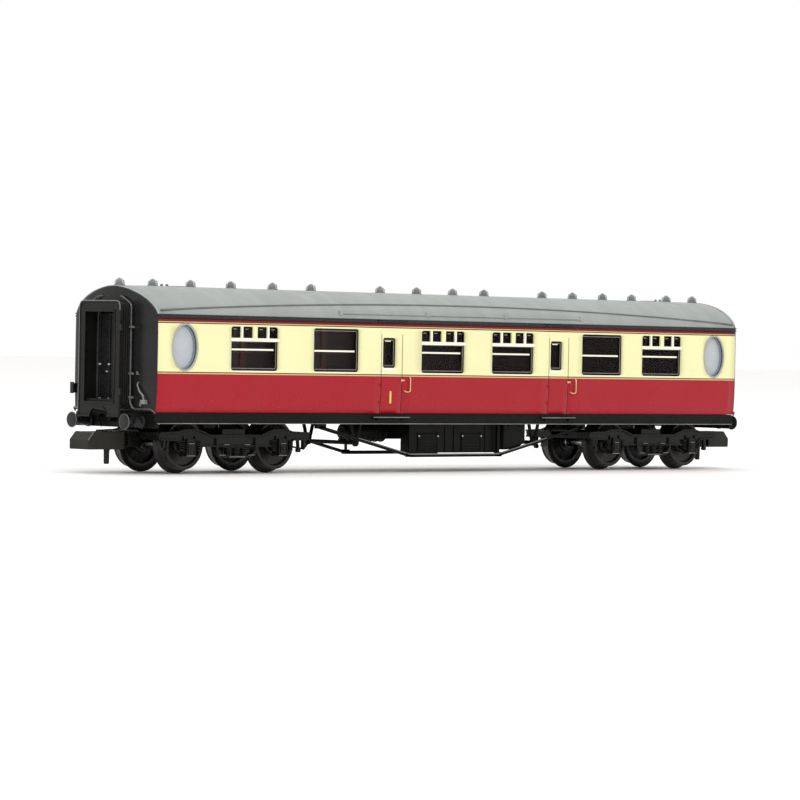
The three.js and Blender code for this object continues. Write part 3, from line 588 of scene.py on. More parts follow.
# Pale grey for the ventilator hoops and the roof end beads: painted highlights.
ROOF_HIGHLIGHT_GREY = matt_paint("pale_roof_highlight", rgb(184, 186, 185), rgb(164, 167, 166), (0.3, 0.4), 0.25, 0.15)
WHEEL_BLACK = matt_paint("blackened_wheel", rgb(30, 26, 24), rgb(20, 18, 17), (0.22, 0.34), 0.3, 0.12, 0.3)
# Pale diffuse grey standing in for the shine of the end-door catches and the battery box hinge ends: a
# painted highlight.
PAINTED_SHINE_GREY = matt_paint("catch_shine_grey", rgb(206, 206, 204), rgb(180, 180, 180), (0.2, 0.3), 0.4, 0.05, 0.5)
STEEL = bare_metal("plated_steel", rgb(196, 196, 198), rgb(160, 160, 162))
BRASS = bare_metal("polished_brass", rgb(232, 206, 150), rgb(206, 172, 112))
TYRE_STEEL = bare_metal("tyre_steel", rgb(62, 57, 54), rgb(46, 42, 40), (0.26, 0.4))
GLASS = clear_glass()
FROSTED = frosted_glass()
CLOTH = seat_cloth()
WOOD = veneer("varnished_wood", 0.7, rgb(66, 48, 40), rgb(88, 62, 50))
POST_WOOD = veneer("post_wood", 0.5, rgb(134, 66, 44), rgb(112, 52, 36))


# ------------------------------------------------------------------------------------------------ pieces

def make(name, shape, material, body="coach_body", slot=None, replaces=(), outward=True, sharp=38, bevel=0.0,
         thickness=0.0):
    """A finished piece from a shape: doubles merged, faces turned outward, smooth up to the sharp angle
    in degrees, with its edges bevelled or the sheet thickened inward where asked, riding on its body."""
    points, faces = shape
    mesh = bpy.data.meshes.new(name)
    sizes = np.concatenate([np.full(len(face), face.shape[1]) for face in faces])
    mesh.vertices.add(len(points))
    mesh.vertices.foreach_set("co", (points * MM).astype(np.float32).ravel())
    mesh.loops.add(int(sizes.sum()))
    mesh.loops.foreach_set("vertex_index", np.concatenate([face.ravel() for face in faces]).astype(np.int32))
    mesh.polygons.add(len(sizes))
    mesh.polygons.foreach_set("loop_start", (np.cumsum(sizes) - sizes).astype(np.int32))
    mesh.update(calc_edges=True)
    mesh.validate()
    cleaned = bmesh.new()
    cleaned.from_mesh(mesh)
    bmesh.ops.remove_doubles(cleaned, verts=cleaned.verts, dist=2e-7)
    if outward:
        bmesh.ops.recalc_face_normals(cleaned, faces=cleaned.faces)
    cleaned.to_mesh(mesh)
    cleaned.free()
    mesh.shade_smooth()
    mesh.set_sharp_from_angle(angle=math.radians(sharp))
    mesh.materials.append(material)
    piece = bpy.data.objects.new(name, mesh)
    bpy.context.scene.collection.objects.link(piece)
    if thickness:
        wall = piece.modifiers.new("wall", "SOLIDIFY")
        wall.thickness, wall.offset, wall.use_even_offset = thickness * MM, -1, True
    if bevel:
        edge = piece.modifiers.new("edges", "BEVEL")
        edge.width, edge.segments, edge.limit_method = bevel * MM, 1, "ANGLE"
        edge.angle_limit, edge.harden_normals = math.radians(35), True
    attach(piece, body)
    if replaces:
        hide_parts(*replaces)
    return piece


def at_end(shape, end):
    """A shape drawn at the rear end, turned half round for the front."""
    return shape if end > 0 else changed(shape, (-1, -1, 1))


def mirrored_sides(build):
    """What build makes for the near side and for the far side, as one shape."""
    return merged(build(-1), build(1))


# ------------------------------------------------------------------------------------------------ body

def bow(y, half_length=HALF_LENGTH):
    """How far an end reaches: half the length plus the bow times 1 - (y / half width) squared."""
    return half_length + END_BOW * (1 - (y / BOW_HALF_WIDTH) ** 2)


def side_y(z):
    """Half the width at a height: the sides curve in as a square below the waist, and a little over the
    windows."""
    low = np.clip((WAIST - z) / (WAIST - BODY_BOTTOM), 0, None)
    high = np.clip((z - above(18)) / (CANTRAIL - above(18)), 0, None)
    return HALF_WIDTH - 0.27 * low ** 2 - 0.06 * high ** 2


def top_lights(centre):
    """The four narrow lights over a window's transom: a pair each side of the thick middle bar."""
    half = WINDOW_WIDTH / 2
    light = (half - MIDDLE_BAR / 2 - THIN_BAR) / 2
    starts = [-half, -half + light + THIN_BAR, MIDDLE_BAR / 2, MIDDLE_BAR / 2 + light + THIN_BAR]
    return [(centre + start, centre + start + light) for start in starts]


def door_windows():
    """The drop lights of the doors as their x range, z range and corner radius."""
    middles = [centre + DOOR_WINDOW_OFFSET for centre in DOOR_CENTRES]
    return [(x - DOOR_WINDOW_WIDTH / 2, x + DOOR_WINDOW_WIDTH / 2, *DOOR_WINDOW_Z, 0.4) for x in middles]


def marked(low, high, step, marks):
    """Values about step apart from low to high, with the marks among them in place of those too close to
    one."""
    marks = np.unique(np.round(marks, 4))
    steps = even(low, high, step)
    clear = np.abs(steps[:, None] - marks).min(1) > step * 0.25
    clear[[0, -1]] = True
    return np.unique(np.concatenate([steps[clear], marks]))


def side_wall(side):
    """A side as a grid over x and z with y = side_y(z). Cells inside an opening are left out, and the
    points round it are drawn in to its edge: to the corner arcs of a rounded rectangle, or radially to an
    oval. Shut lines of the doors are grooves, narrow bells in the depth."""
    rounded = whole_windows() + door_windows()
    ovals = [(end * OVAL_CENTRE[0], OVAL_CENTRE[1]) for end in (-1, 1)]
    corner = np.array([0, 0.3, 0.65, 1])
    spread = (1 - np.cos(np.linspace(0, np.pi, 15)))
    shut_lines = [centre + edge for centre in DOOR_CENTRES for edge in (-DOOR_HALF_WIDTH, DOOR_HALF_WIDTH)]
    x_marks = [x0 + radius * corner for x0, _, _, _, radius in rounded]
    x_marks += [x1 - radius * corner for _, x1, _, _, radius in rounded]
    x_marks += [x - OVAL_RADII[0] + OVAL_RADII[0] * spread for x, _ in ovals]
    x_marks += [x + np.array([-0.1, -0.05, 0, 0.05, 0.1]) for x in shut_lines]
    z_marks = [z0 + radius * corner for _, _, z0, _, radius in rounded]
    z_marks += [z1 - radius * corner for _, _, _, z1, radius in rounded]
    z_marks += [OVAL_CENTRE[1] - OVAL_RADII[1] + OVAL_RADII[1] * spread]
    reach = bow(HALF_WIDTH) - 0.28
    xs = marked(-reach, reach, 1.6, np.concatenate(x_marks))
    zs = marked(BODY_BOTTOM, CANTRAIL + 0.05, 0.7, np.concatenate(z_marks))
    x, z = np.meshgrid(xs, zs, indexing="ij")
    middle_x, middle_z = (xs[1:, None] + xs[:-1, None]) / 2, (zs[None, 1:] + zs[None, :-1]) / 2
    solid = np.ones((len(xs) - 1, len(zs) - 1), bool)
    slack = 1e-4
    for x0, x1, z0, z1, radius in rounded:
        solid &= ~((middle_x > x0) & (middle_x < x1) & (middle_z > z0) & (middle_z < z1))
        near_x, near_z = np.clip(x, x0 + radius, x1 - radius), np.clip(z, z0 + radius, z1 - radius)
        away = np.hypot(x - near_x, z - near_z)
        within = (x > x0 - slack) & (x < x1 + slack) & (z > z0 - slack) & (z < z1 + slack) & (away > radius)
        draw = np.where(within, radius / np.maximum(away, slack), 1)
        x, z = near_x + (x - near_x) * draw, near_z + (z - near_z) * draw
    for centre_x, centre_z in ovals:
        solid &= ~((abs(middle_x - centre_x) < OVAL_RADII[0]) & (abs(middle_z - centre_z) < OVAL_RADII[1]))
        u, v = (x - centre_x) / OVAL_RADII[0], (z - centre_z) / OVAL_RADII[1]
        away = np.hypot(u, v)
        within = (abs(u) < 1 + slack) & (abs(v) < 1 + slack) & (away > 1)
        draw = np.where(within, 1 / np.maximum(away, slack), 1)
        x, z = centre_x + u * draw * OVAL_RADII[0], centre_z + v * draw * OVAL_RADII[1]
    groove = sum(np.exp(-((x - line) / 0.045) ** 2) for line in shut_lines) * (z < SHUT_LINE_TOP)
    y = side * (side_y(z) - 0.1 * groove)
    points, (cells,) = grid(np.stack([x, y, z], -1), flip=side < 0)
    cells = cells[solid.ravel()]
    used, cells = np.unique(cells, return_inverse=True)
    return points[used], [cells.reshape(-1, 4)]


def roof_section(half_width, base, top, steps=72, squareness=ROOF_SQUARENESS):
    """Half a superellipse: y = w sgn(cos t) |cos t|^(2/n) and z = base + |sin t|^(2/n) (top - base)."""
    angle = np.linspace(0, np.pi, steps + 1)
    power = 2 / squareness
    y = np.sign(np.cos(angle)) * np.abs(np.cos(angle)) ** power * half_width
    return np.stack([y, base + np.abs(np.sin(angle)) ** power * (top - base)], -1)


def roof_y(z):
    """Where the roof's outer face lies across the coach at a height."""
    share = np.clip((z - CANTRAIL) / (ROOF_TOP - CANTRAIL), 0, 1)
    return HALF_WIDTH * (1 - share ** ROOF_SQUARENESS) ** (1 / ROOF_SQUARENESS)


def by_angle(loop, centre, angles):
    """Points of a closed loop on rays from a centre: the loop's distance looked up by angle."""
    away = loop - centre
    found = np.arctan2(away[:, 1], away[:, 0]) % (2 * np.pi)
    order = np.argsort(found)
    distance = np.interp(angles, found[order], np.hypot(*away.T)[order], period=2 * np.pi)
    return centre + distance[:, None] * np.stack([np.cos(angles), np.sin(angles)], -1)


def dense(polygon, step=0.05):
    """A closed polygon's edges filled with points about step apart."""
    polygon = np.asarray(polygon, float)
    stretches = []
    for start, end in zip(polygon, np.roll(polygon, -1, 0)):
        count = max(2, int(np.hypot(*(end - start)) / step))
        stretches.append(start + (end - start) * np.linspace(0, 1, count, endpoint=False)[:, None])
    return np.concatenate(stretches)


GANGWAY_CENTRE = np.array([0, above(16)])
GANGWAY_OPENING = 3.25
GANGWAY_Z = heights(9.7, 22.6)
DOORWAY = dense([(-GANGWAY_OPENING, GANGWAY_Z[0]), (GANGWAY_OPENING, GANGWAY_Z[0]),
                 (GANGWAY_OPENING, GANGWAY_Z[1]), (-GANGWAY_OPENING, GANGWAY_Z[1])])


def ray_angles(*loops):
    """Even angles all round, with the angles of the given corners added."""
    corner_angles = [np.arctan2(*(np.asarray(loop, float) - GANGWAY_CENTRE).T[::-1]) for loop in loops]
    return np.unique(np.concatenate([np.linspace(0, 2 * np.pi, 180, endpoint=False),
                                     np.concatenate(corner_angles) % (2 * np.pi)]))


def doorway_corners():
    """The four corners of the gangway doorway as (y, z)."""
    return [(side * GANGWAY_OPENING, z) for side in (-1, 1) for z in GANGWAY_Z]


def end_wall():
    """An end panel between the gangway doorway and the coach's outline: rays s from 0 to 1 between the
    two loops, on the bowed plane x = bow(y), its rim rolled back as a quarter circle to meet the sides."""
    levels = even(BODY_BOTTOM, CANTRAIL, 1.0)
    flank = np.stack([side_y(levels) - 0.02, levels], -1)
    arch = roof_section(HALF_WIDTH, CANTRAIL, ROOF_TOP - ROOF_END_DROP, squareness=ROOF_END_SQUARENESS)
    outline = np.concatenate([flank, arch, (flank * (-1, 1))[::-1]])
    angles = ray_angles(doorway_corners(),
                        [flank[0], flank[-1], arch[0], flank[0] * (-1, 1), flank[-1] * (-1, 1)])
    outer = by_angle(dense(outline), GANGWAY_CENTRE, angles)
    inner = by_angle(DOORWAY, GANGWAY_CENTRE, angles)
    roll, radius = np.linspace(0, np.pi / 2, 5), END_ROLL
    outward = outer - GANGWAY_CENTRE
    outward /= np.linalg.norm(outward, axis=1, keepdims=True)
    rim = outer - outward * radius
    share = np.linspace(0, 1, 14)[None, :, None]
    flat = inner[:, None] + (rim[:, None] - inner[:, None]) * share
    rolled = rim[:, None] + outward[:, None] * radius * np.sin(roll)[1:][None, :, None]
    yz = np.concatenate([flat, rolled], 1)
    back = np.concatenate([np.zeros(14), radius * (1 - np.cos(roll[1:]))])
    x = bow(yz[..., 0]) - back
    return grid(np.concatenate([x[..., None], yz], -1), wrap_rows=True)


def roof_sheet():
    """The roof's outer face over u from -1 to 1 times the bowed reach: a superellipse section whose
    squareness and height ease off as the square of the nearness to an end."""
    angle = np.linspace(0, np.pi, 97)
    along = np.concatenate([np.linspace(-1, -0.86, 12)[:-1], np.linspace(-0.86, 0.86, 40),
                            np.linspace(0.86, 1, 12)[1:]])
    ending = np.clip((abs(along) - 0.9) / 0.1, 0, 1)[:, None] ** 2
    power = 2 / (ROOF_SQUARENESS + (ROOF_END_SQUARENESS - ROOF_SQUARENESS) * ending)
    y = HALF_WIDTH * np.sign(np.cos(angle)) * np.abs(np.cos(angle)) ** power
    z = CANTRAIL + (ROOF_TOP - ROOF_END_DROP * ending - CANTRAIL) * np.abs(np.sin(angle)) ** power
    x = along[:, None] * (bow(y) - END_ROLL + 0.05)
    return grid(np.stack([x, y, z], -1))


def roof_strips():
    """A rain strip on each slope: its height falls from the middle to the ends as the square of x."""
    x = even(-60.6, 60.6, 1.2)
    z = above(24.7) - (24.7 - 22.95) * (x / 60.6) ** 2
    y = roof_y(z) + 0.02
    return merged(*[tube(np.stack([x, side * y, z], -1), 0.14, sides=8) for side in (-1, 1)])


def conduit():
    """The alarm conduit over the eaves of both sides, with its clips."""
    x = even(-25.8, 25.3, 2.0)
    z = np.full_like(x, above(23.2))
    clips = [-25.8, -8.0, 8.6, 25.3]

    def one(side):
        y = side * (roof_y(z) + 0.12)
        pipe = tube(np.stack([x, y, z], -1), 0.16, sides=10)
        saddle = block((-0.3, 0.3), (-0.28, 0.28), (-0.3, 0.3))
        return merged(pipe, copies(saddle, [(clip, y[0] - side * 0.12, z[0]) for clip in clips]))
    return mirrored_sides(one)


VENTILATORS = (-60.8, -54.6, -47.4, -39.6, -31.4, -23.7, -9.5, -1.8,
               5.9, 12.7, 25.6, 32.5, 39.4, 46.2, 54.4, 60.6)


def ventilator_body():
    """The squat dome of a shell ventilator on its flange."""
    profile = [(0, -0.3), (0.8, -0.3), (0.82, 0.05), (0.72, 0.12),
               (0.74, 0.4), (0.64, 0.68), (0.4, 0.86), (0, 0.92)]
    return turn(profile, (0, 0, 0), "z", 24)


def ventilator_hoops():
    """Two upright hoops crossing over the dome: half circles of (cos a, sin a), paler than the dome as a
    painted highlight.
    """
    angle = np.linspace(0, np.pi, 17)
    hoops = []
    for across in ((1, 0), (0, 1)):
        path = np.stack([0.8 * np.cos(angle) * across[0], 0.8 * np.cos(angle) * across[1],
                         0.08 + 0.88 * np.sin(angle)], -1)
        hoops.append(tube(path, 0.1, across=(-across[1], across[0], 0), sides=8))
    return merged(*hoops)


def roof_end_bead(end):
    """A pale bead round each end of the roof, over its seam with the black end: a painted highlight of the
    roof's end edge.
    """
    y, z = roof_section(HALF_WIDTH, CANTRAIL + 0.35, ROOF_TOP - ROOF_END_DROP, 48, ROOF_END_SQUARENESS).T
    x = end * (bow(y) - END_ROLL)
    return tube(np.stack([x, y, z], -1), 0.07, across=(1, 0.01, 0), sides=6)


def roof_fittings():
    """Filler caps in pairs near the ends, and flat hatches along the crest."""
    cap = turn([(0, -0.1), (0.22, -0.1), (0.22, 0.22), (0.15, 0.32), (0, 0.34)], (0, 0, 0), "z", 16)
    caps = copies(cap, [(end * 52.4 + gap, 0, ROOF_TOP) for end in (-1, 1) for gap in (-0.5, 0.5)])
    hatch = block((-1.1, 1.1), (-0.9, 0.9), (-0.2, 0.07))
    return merged(caps, copies(hatch, [(x, 0, ROOF_TOP) for x in (-50.2, 50.2)]))


def gutters():
    """A half-round gutter along each eave: a small bead carried along the foot of the roof."""
    reach = bow(HALF_WIDTH) - 0.1
    x = even(-reach, reach, 3.0)

    def one(side):
        lip = np.stack([x, np.full_like(x, side * (HALF_WIDTH + 0.02)), np.full_like(x, above(22.32))], -1)
        y, z = np.full_like(x, side * (HALF_WIDTH - 0.02)), np.full_like(x, CANTRAIL + 0.04)
        foot = np.stack([x, y, z], -1)
        return merged(tube(lip, 0.09, sides=8), tube(foot, 0.11, sides=8))
    return mirrored_sides(one)


def build_body():
    """The painted shell, the roof and all that sits on it."""
    for name, side in SIDES.items():
        make(f"body_side_{name}", side_wall(side), PAINT, slot="body_paint", replaces=["body_shell"],
             outward=False, thickness=WALL, sharp=30)
    for name, end in ENDS.items():
        make(f"body_end_{name}", at_end(end_wall(), end), END_BLACK, slot="end_black",
             replaces=["body_shell"], outward=False, thickness=WALL)
    make("roof_shell", roof_sheet(), ROOF_PAINT, slot="roof_grey", replaces=["roof"], outward=False,
         thickness=ROOF_SHEET)
    make("roof_rain_strips", roof_strips(), RAIN_STRIP_SHADE_GREY, slot="roof_grey")
    make("roof_conduits", conduit(), ROOF_PAINT, slot="roof_grey")
    crest = [(x, 0, ROOF_TOP) for x in VENTILATORS]
    make("roof_ventilators", copies(ventilator_body(), crest), VENT_GREY, slot="roof_grey")
    make("ventilator_hoops", copies(ventilator_hoops(), crest), ROOF_HIGHLIGHT_GREY, slot="roof_grey")
    make("roof_end_beads", merged(roof_end_bead(-1), roof_end_bead(1)), ROOF_HIGHLIGHT_GREY, slot="roof_grey")
    make("roof_fittings", roof_fittings(), VENT_GREY, slot="roof_grey", bevel=0.04)
    make("gutters", gutters(), GUTTER, slot="body_paint")


# --------------------------------------------------------------------------------------- windows and doors

def whole_windows():
    """The large windows as their x range, z range and corner radius."""
    return [(x - WINDOW_WIDTH / 2, x + WINDOW_WIDTH / 2, *WINDOW_Z, WINDOW_CORNER) for x in WINDOW_CENTRES]


def is_plain(window, side):
    """Whether a large window, by its number along the coach, has no top lights."""
    return side < 0 and window in PLAIN_WINDOWS_NEAR


def window_bars(side):
    """The slim bars of the top lights: a transom across each window and two thin bars over it, whiter than
    the cream paint as a painted highlight.
    """
    bars = []
    for i, (x0, x1, _, top, _) in enumerate(whole_windows()):
        if is_plain(i, side):
            continue
        bars.append(bar_at(side, (x0 - 0.05, x1 + 0.05), TRANSOM))
        lights = top_lights(WINDOW_CENTRES[i])
        for left, right in (lights[:2], lights[2:]):
            bars.append(bar_at(side, (left[1], right[0]), (TRANSOM[1] - 0.05, top + 0.05)))
    return merged(*bars)


def bar_at(side, xs, zs):
    """A bar in the plane of the side, its face just proud of the paint."""
    return block(xs, (side * (HALF_WIDTH - 0.32), side * (HALF_WIDTH + 0.01)), zs)


def middle_bars(side):
    """The thick bar between the two pairs of top lights."""
    return merged(*[bar_at(side, around(x, MIDDLE_BAR / 2), (TRANSOM[1] - 0.05, WINDOW_Z[1] + 0.05))
                    for i, x in enumerate(WINDOW_CENTRES) if not is_plain(i, side)])


def pale_trim(side):
    """Pale sills under the windows and pale heads in the drop lights, painted highlights on the openings'
    edges, and the guard rail across each corridor pane."""
    face, pane = HALF_WIDTH + 0.02, PANE_FACE + 0.02
    trim = [block((x0 + 0.3, x1 - 0.3), (side * (face - 0.2), side * face), (z0 - 0.13, z0 - 0.01))
            for x0, x1, z0, _, _ in whole_windows()]
    for x0, x1, z0, z1, _ in door_windows():
        trim.append(block((x0 - 0.05, x1 + 0.05), (side * (face - 0.2), side * face), (z0 - 0.42, z0 - 0.02)))
        trim.append(block((x0 + 0.75, x1 - 0.9), (side * (pane - 0.03), side * pane), (z1 - 0.55, z1 - 0.4)))
    if side < 0:
        for x0, x1, _, _, _ in whole_windows():
            rail = heights(17.39, 17.65)
            trim.append(block((x0 + 0.1, x1 - 0.75), (side * (pane - 0.03), side * pane), rail))
            trim.append(block((x1 - 0.04, x1 + 0.1), (side * (pane + 0.1), side * face), rail))
    return merged(*trim)


def panes(side):
    """The clear moulding: a raised pane in every window and drop light."""
    gap, back = 0.06, HALF_WIDTH - 1.2
    return merged(*[
        prism(Loop.rounded((x0 + gap, x1 - gap), (z0 + gap, z1 - gap), radius).points, "y",
              *sorted((side * back, side * PANE_FACE)))
        for x0, x1, z0, z1, radius in whole_windows() + door_windows()])


def pane_edges(side):
    """A pale grey strip on the moulded edge just inside each pane, a painted reflection, and the catches of
    the top lights.
    """
    profile = [(-0.28, PANE_FACE - 0.05), (-0.28, PANE_FACE + 0.05), (-0.39, PANE_FACE + 0.05),
               (-0.39, PANE_FACE - 0.05)]

    def edge_round(xs, zs, radius):
        return Loop.rounded(xs, zs, radius).hoop([(out, side * y) for out, y in profile], "y")

    edges = []
    for i, (x0, x1, z0, z1, radius) in enumerate(whole_windows()):
        top = z1 if is_plain(i, side) else TRANSOM[0] + 0.3
        edges.append(edge_round((x0, x1), (z0, top), radius))
        if not is_plain(i, side):
            edges += [block(around((a + b) / 2, 0.3),
                            (side * (PANE_FACE - 0.05), side * (PANE_FACE + 0.06)),
                            (z1 - 0.45, z1 - 0.3)) for a, b in top_lights(WINDOW_CENTRES[i])]
    edges += [edge_round((x0, x1), (z0, z1), radius) for x0, x1, z0, z1, radius in door_windows()]
    return merged(*edges)


def build_windows():
    """The glazing with its pale edge strips painted as reflections, the pale sills painted as highlights, and
    the lavatory windows.
    """
    for name, side in SIDES.items():
        make(f"panes_{name}", panes(side), GLASS, slot="clear_glazing", replaces=[f"glazing_{name}"])
        make(f"pane_edges_{name}", pane_edges(side), PANE_REFLECTION_AND_CATCH_GREY, slot="clear_glazing")
        make(f"window_bars_{name}", window_bars(side), WHITE_TRIM_AND_HIGHLIGHT, slot="body_paint", bevel=0.05)
        make(f"window_middle_bars_{name}", middle_bars(side), PAINT, slot="body_paint", bevel=0.05)
        make(f"pale_trim_{name}", pale_trim(side), WHITE_TRIM_AND_HIGHLIGHT, slot="body_paint", bevel=0.02)
        for end_name, end in ENDS.items():
            oval_window(f"{end_name}_{name}", end, side)


def oval_window(name, end, side):
    """A lavatory window: a stepped rim round the opening, its lip, wall and ledge given a painted highlight,
    painted shade and a painted grey-blue reflection, and a faintly crowned frosted pane deep inside it."""
    loop = Loop.oval((end * OVAL_CENTRE[0], OVAL_CENTRE[1]), OVAL_RADII)
    lip = [(0.14, -0.1), (0.14, 0.05), (0.06, 0.1), (-0.08, 0.07), (-0.12, 0.0), (-0.12, -0.1)]
    wall = [(-0.11, -0.02), (-0.14, -0.36), (-0.04, -0.36), (-0.04, -0.02)]
    ledge = [(-0.13, -0.34), (-0.3, -0.37), (-0.32, -0.62), (-0.38, -0.66), (-0.1, -0.7), (-0.03, -0.34)]
    for part, steps, grey in (("lip", lip, RIM_HIGHLIGHT_GREY), ("wall", wall, RIM_SHADE_GREY), ("ledge", ledge, RIM_REFLECTION_GREY)):
        ring = loop.hoop([(out, side * (HALF_WIDTH + lift)) for out, lift in steps], "y")
        make(f"oval_{part}_{name}", ring, grey, slot="frosted_glazing")
    pane = merged(
        loop.disc(0.33, side * (HALF_WIDTH - 0.6), side * 0.08, "y"),
        loop.disc(0.33, side * (HALF_WIDTH - 0.75), 0, "y", 2),
        loop.hoop([(-0.33, side * (HALF_WIDTH - 0.6)), (-0.33, side * (HALF_WIDTH - 0.75))], "y",
                  closed=False))
    make(f"oval_glass_{name}", pane, FROSTED, slot="frosted_glazing", replaces=[f"oval_pane_{name}"])


def door_hood(x, side):
    """The small panel over a door's window, flush with the paint."""
    return block((x - 2.2, x + 1.65), (side * (HALF_WIDTH - 0.1), side * HALF_WIDTH), heights(20.32, 21.08))


def drip_strip(x, side):
    """A drip strip over a door: a thin bar that bows up slightly in the middle."""
    share = np.linspace(-1, 1, 13)
    path = np.stack([x + 3.0 * share, np.full(13, side * (HALF_WIDTH + 0.06)),
                     above(22.05) + 0.14 * (1 - share ** 2)], -1)
    return tube(path, 0.12, sides=8)


def door_handle(x, side):
    """A turned handle: a rose on the panel, a neck, and an egg-shaped grip lying along the coach."""
    y = HALF_WIDTH
    rose_profile = [(0, -0.1), (0.2, -0.1), (0.2, 0.06), (0.1, 0.1), (0.08, 0.24), (0, 0.26)]
    rose = turn(rose_profile, (0, 0, 0), "y", 14)
    rose = changed(rose, (1, side, 1), (x, side * y, above(13.3)))
    share = np.linspace(0, np.pi, 9)
    grip = turn([(0.13 * math.sin(a), -0.42 * math.cos(a)) for a in share], (0, 0, 0), "x", 10)
    return merged(rose, changed(grip, shift=(x, side * (y + 0.27), above(13.3))))


def grab_rail(x, side):
    """A curled grab rail beside a door: straight down, then round to a foot at the door's edge."""
    y = side * (HALF_WIDTH + 0.3)
    foot = side * (HALF_WIDTH - 0.05)
    path = eased([(x, foot, above(13.85)), (x, y, above(13.75)), (x, y, above(11.62)),
                  (x - 0.85, y, above(11.55)), (x - 0.95, foot, above(11.75))], 0.3)
    return tube(path, 0.1, across=(0.3, 0.9, 0.1), sides=8)


def hinges(x, side):
    """Three door hinges, each a short upright barrel with a leaf."""
    barrel = turn([(0, -0.2), (0.09, -0.2), (0.09, 0.2), (0, 0.2)], (0, 0, 0), "z", 10)
    leaf = block((-0.28, 0.0), (-0.03, 0.03), (-0.13, 0.13))
    levels = [above(10.0), above(12.6), above(20.6)]
    places = [(x, side * (side_y(z) + 0.04), z) for z in levels]
    return copies(merged(barrel, leaf), places)


def build_doors():
    """The door fittings, grab rails and first-class marks."""
    for name, side in SIDES.items():
        brass, rails, hoods, drips, joints = [], [], [], [], []
        for centre in DOOR_CENTRES:
            brass.append(door_handle(centre + 2.1, side))
            rails.append(grab_rail(centre + 3.6, side))
            hoods.append(door_hood(centre, side))
            drips.append(drip_strip(centre, side))
            joints.append(hinges(centre - DOOR_HALF_WIDTH, side))
        make(f"door_handles_{name}", merged(*brass), BRASS, slot="plated_steel")
        make(f"grab_rails_{name}", merged(*rails), BRASS, slot="plated_steel")
        make(f"door_hoods_{name}", merged(*hoods), PAINT, slot="body_paint", bevel=0.05)
        make(f"door_drips_{name}", merged(*drips), GUTTER, slot="body_paint")
        make(f"door_hinges_{name}", merged(*joints), PAINT, slot="body_paint")
    bar_x, bar_z = DOOR_CENTRES[0] - 0.15, above(10.75)
    mark = block(around(bar_x, 0.17), (-side_y(bar_z) - 0.06, -side_y(bar_z) + 0.1), around(bar_z, 0.9))
    make("class_bar_near", mark, LINE_YELLOW, slot="body_paint")


# ------------------------------------------------------------------------------------------------ interior

COMPARTMENTS = ((-50.4, -34.8), (-34.4, -18.8), (-12.1, 2.6), (3, 17.3), (23.6, 36.8), (37.2, 50.4))


def cushion(x0, x1, y0, y1, z0, z1):
    """A seat squab: a rounded slab whose top crowns as the product of two cosine bells."""
    u, v = np.linspace(-1, 1, 9), np.linspace(-1, 1, 17)
    u, v = np.meshgrid(u, v, indexing="ij")
    crown = (1 - u ** 4) * (1 - v ** 8)
    x, y = (x0 + x1) / 2 + (x1 - x0) / 2 * u, (y0 + y1) / 2 + (y1 - y0) / 2 * v
    top = np.stack([x, y, z0 + (z1 - z0) * (0.55 + 0.45 * crown)], -1)
    bottom = np.stack([x, y, np.full_like(x, z0)], -1)

    def ring(part):
        return np.concatenate([part[0], part[1:, -1], part[-1, -2::-1], part[-2:0:-1, 0]])

    skirt = grid(np.stack([ring(bottom), ring(top)]), wrap_columns=True)
    return merged(grid(top), grid(bottom), skirt)


def build_interior():
    """What is seen through the glass."""
    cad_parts["interior"].data.materials.clear()
    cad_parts["interior"].data.materials.append(WOOD)
    seats, posts = [], []
    for start, end in COMPARTMENTS:
        for wall, towards in ((start, 1), (end, -1)):
            xs = sorted((wall + towards * 0.9, wall + towards * 3.1))
            seats.append(cushion(*xs, -4.0, 7.5, above(12.6), above(13.7)))
        middle = (start + end) / 2
        for edge in (-2.6, 1.2):
            posts.append(block(around(middle + edge, 0.5), (-5.1, -4.6), heights(10.6, 21.2)))
        posts.append(block((start - 0.2, end + 0.2), (-4.85, -4.65), heights(17.0, 17.35)))
    make("compartment_seats", merged(*seats), CLOTH, slot="interior_brown", sharp=60)
    make("corridor_door_posts", merged(*posts), POST_WOOD, slot="interior_brown", bevel=0.06)


# ------------------------------------------------------------------------------------------------ ends

def gangway_bellows():
    """The concertina: a pleated profile, in and out along x, carried round a rounded rectangle."""
    low, high = corners("gangway_bellows_rear")
    x0, x1 = low[0] - 0.35, high[0]
    pleats = 5
    x = np.linspace(x0, x1, pleats * 6 + 1)
    fold = 0.32 * np.abs(np.sin(np.pi * pleats * (x - x0) / (x1 - x0)))
    outer = np.stack([fold - 0.32, x], -1)
    inner = np.stack([np.full(2, -1.1), [x1, x0]], -1)
    return Loop.rounded((-4.5, 4.5), heights(9, 24), 1.1).hoop(np.concatenate([outer, inner]), "x")


def plate_outline():
    """The faceplate's edge: a rectangle with rounded upper corners and a notch in the foot."""
    half, foot, top, radius = 4.6, above(7.5), above(24.2), 1.0
    arc = np.linspace(0, np.pi / 2, 9)
    right = np.stack([half - radius + radius * np.cos(arc), top - radius + radius * np.sin(arc)], -1)
    left = (right * (-1, 1))[::-1]
    notch = [(-half, foot), (-2.0, foot), (-1.75, above(8.1)), (-1.2, above(8.65)), (1.2, above(8.65)),
             (1.75, above(8.1)), (2.0, foot), (half, foot)]
    return np.concatenate([right, left, notch])


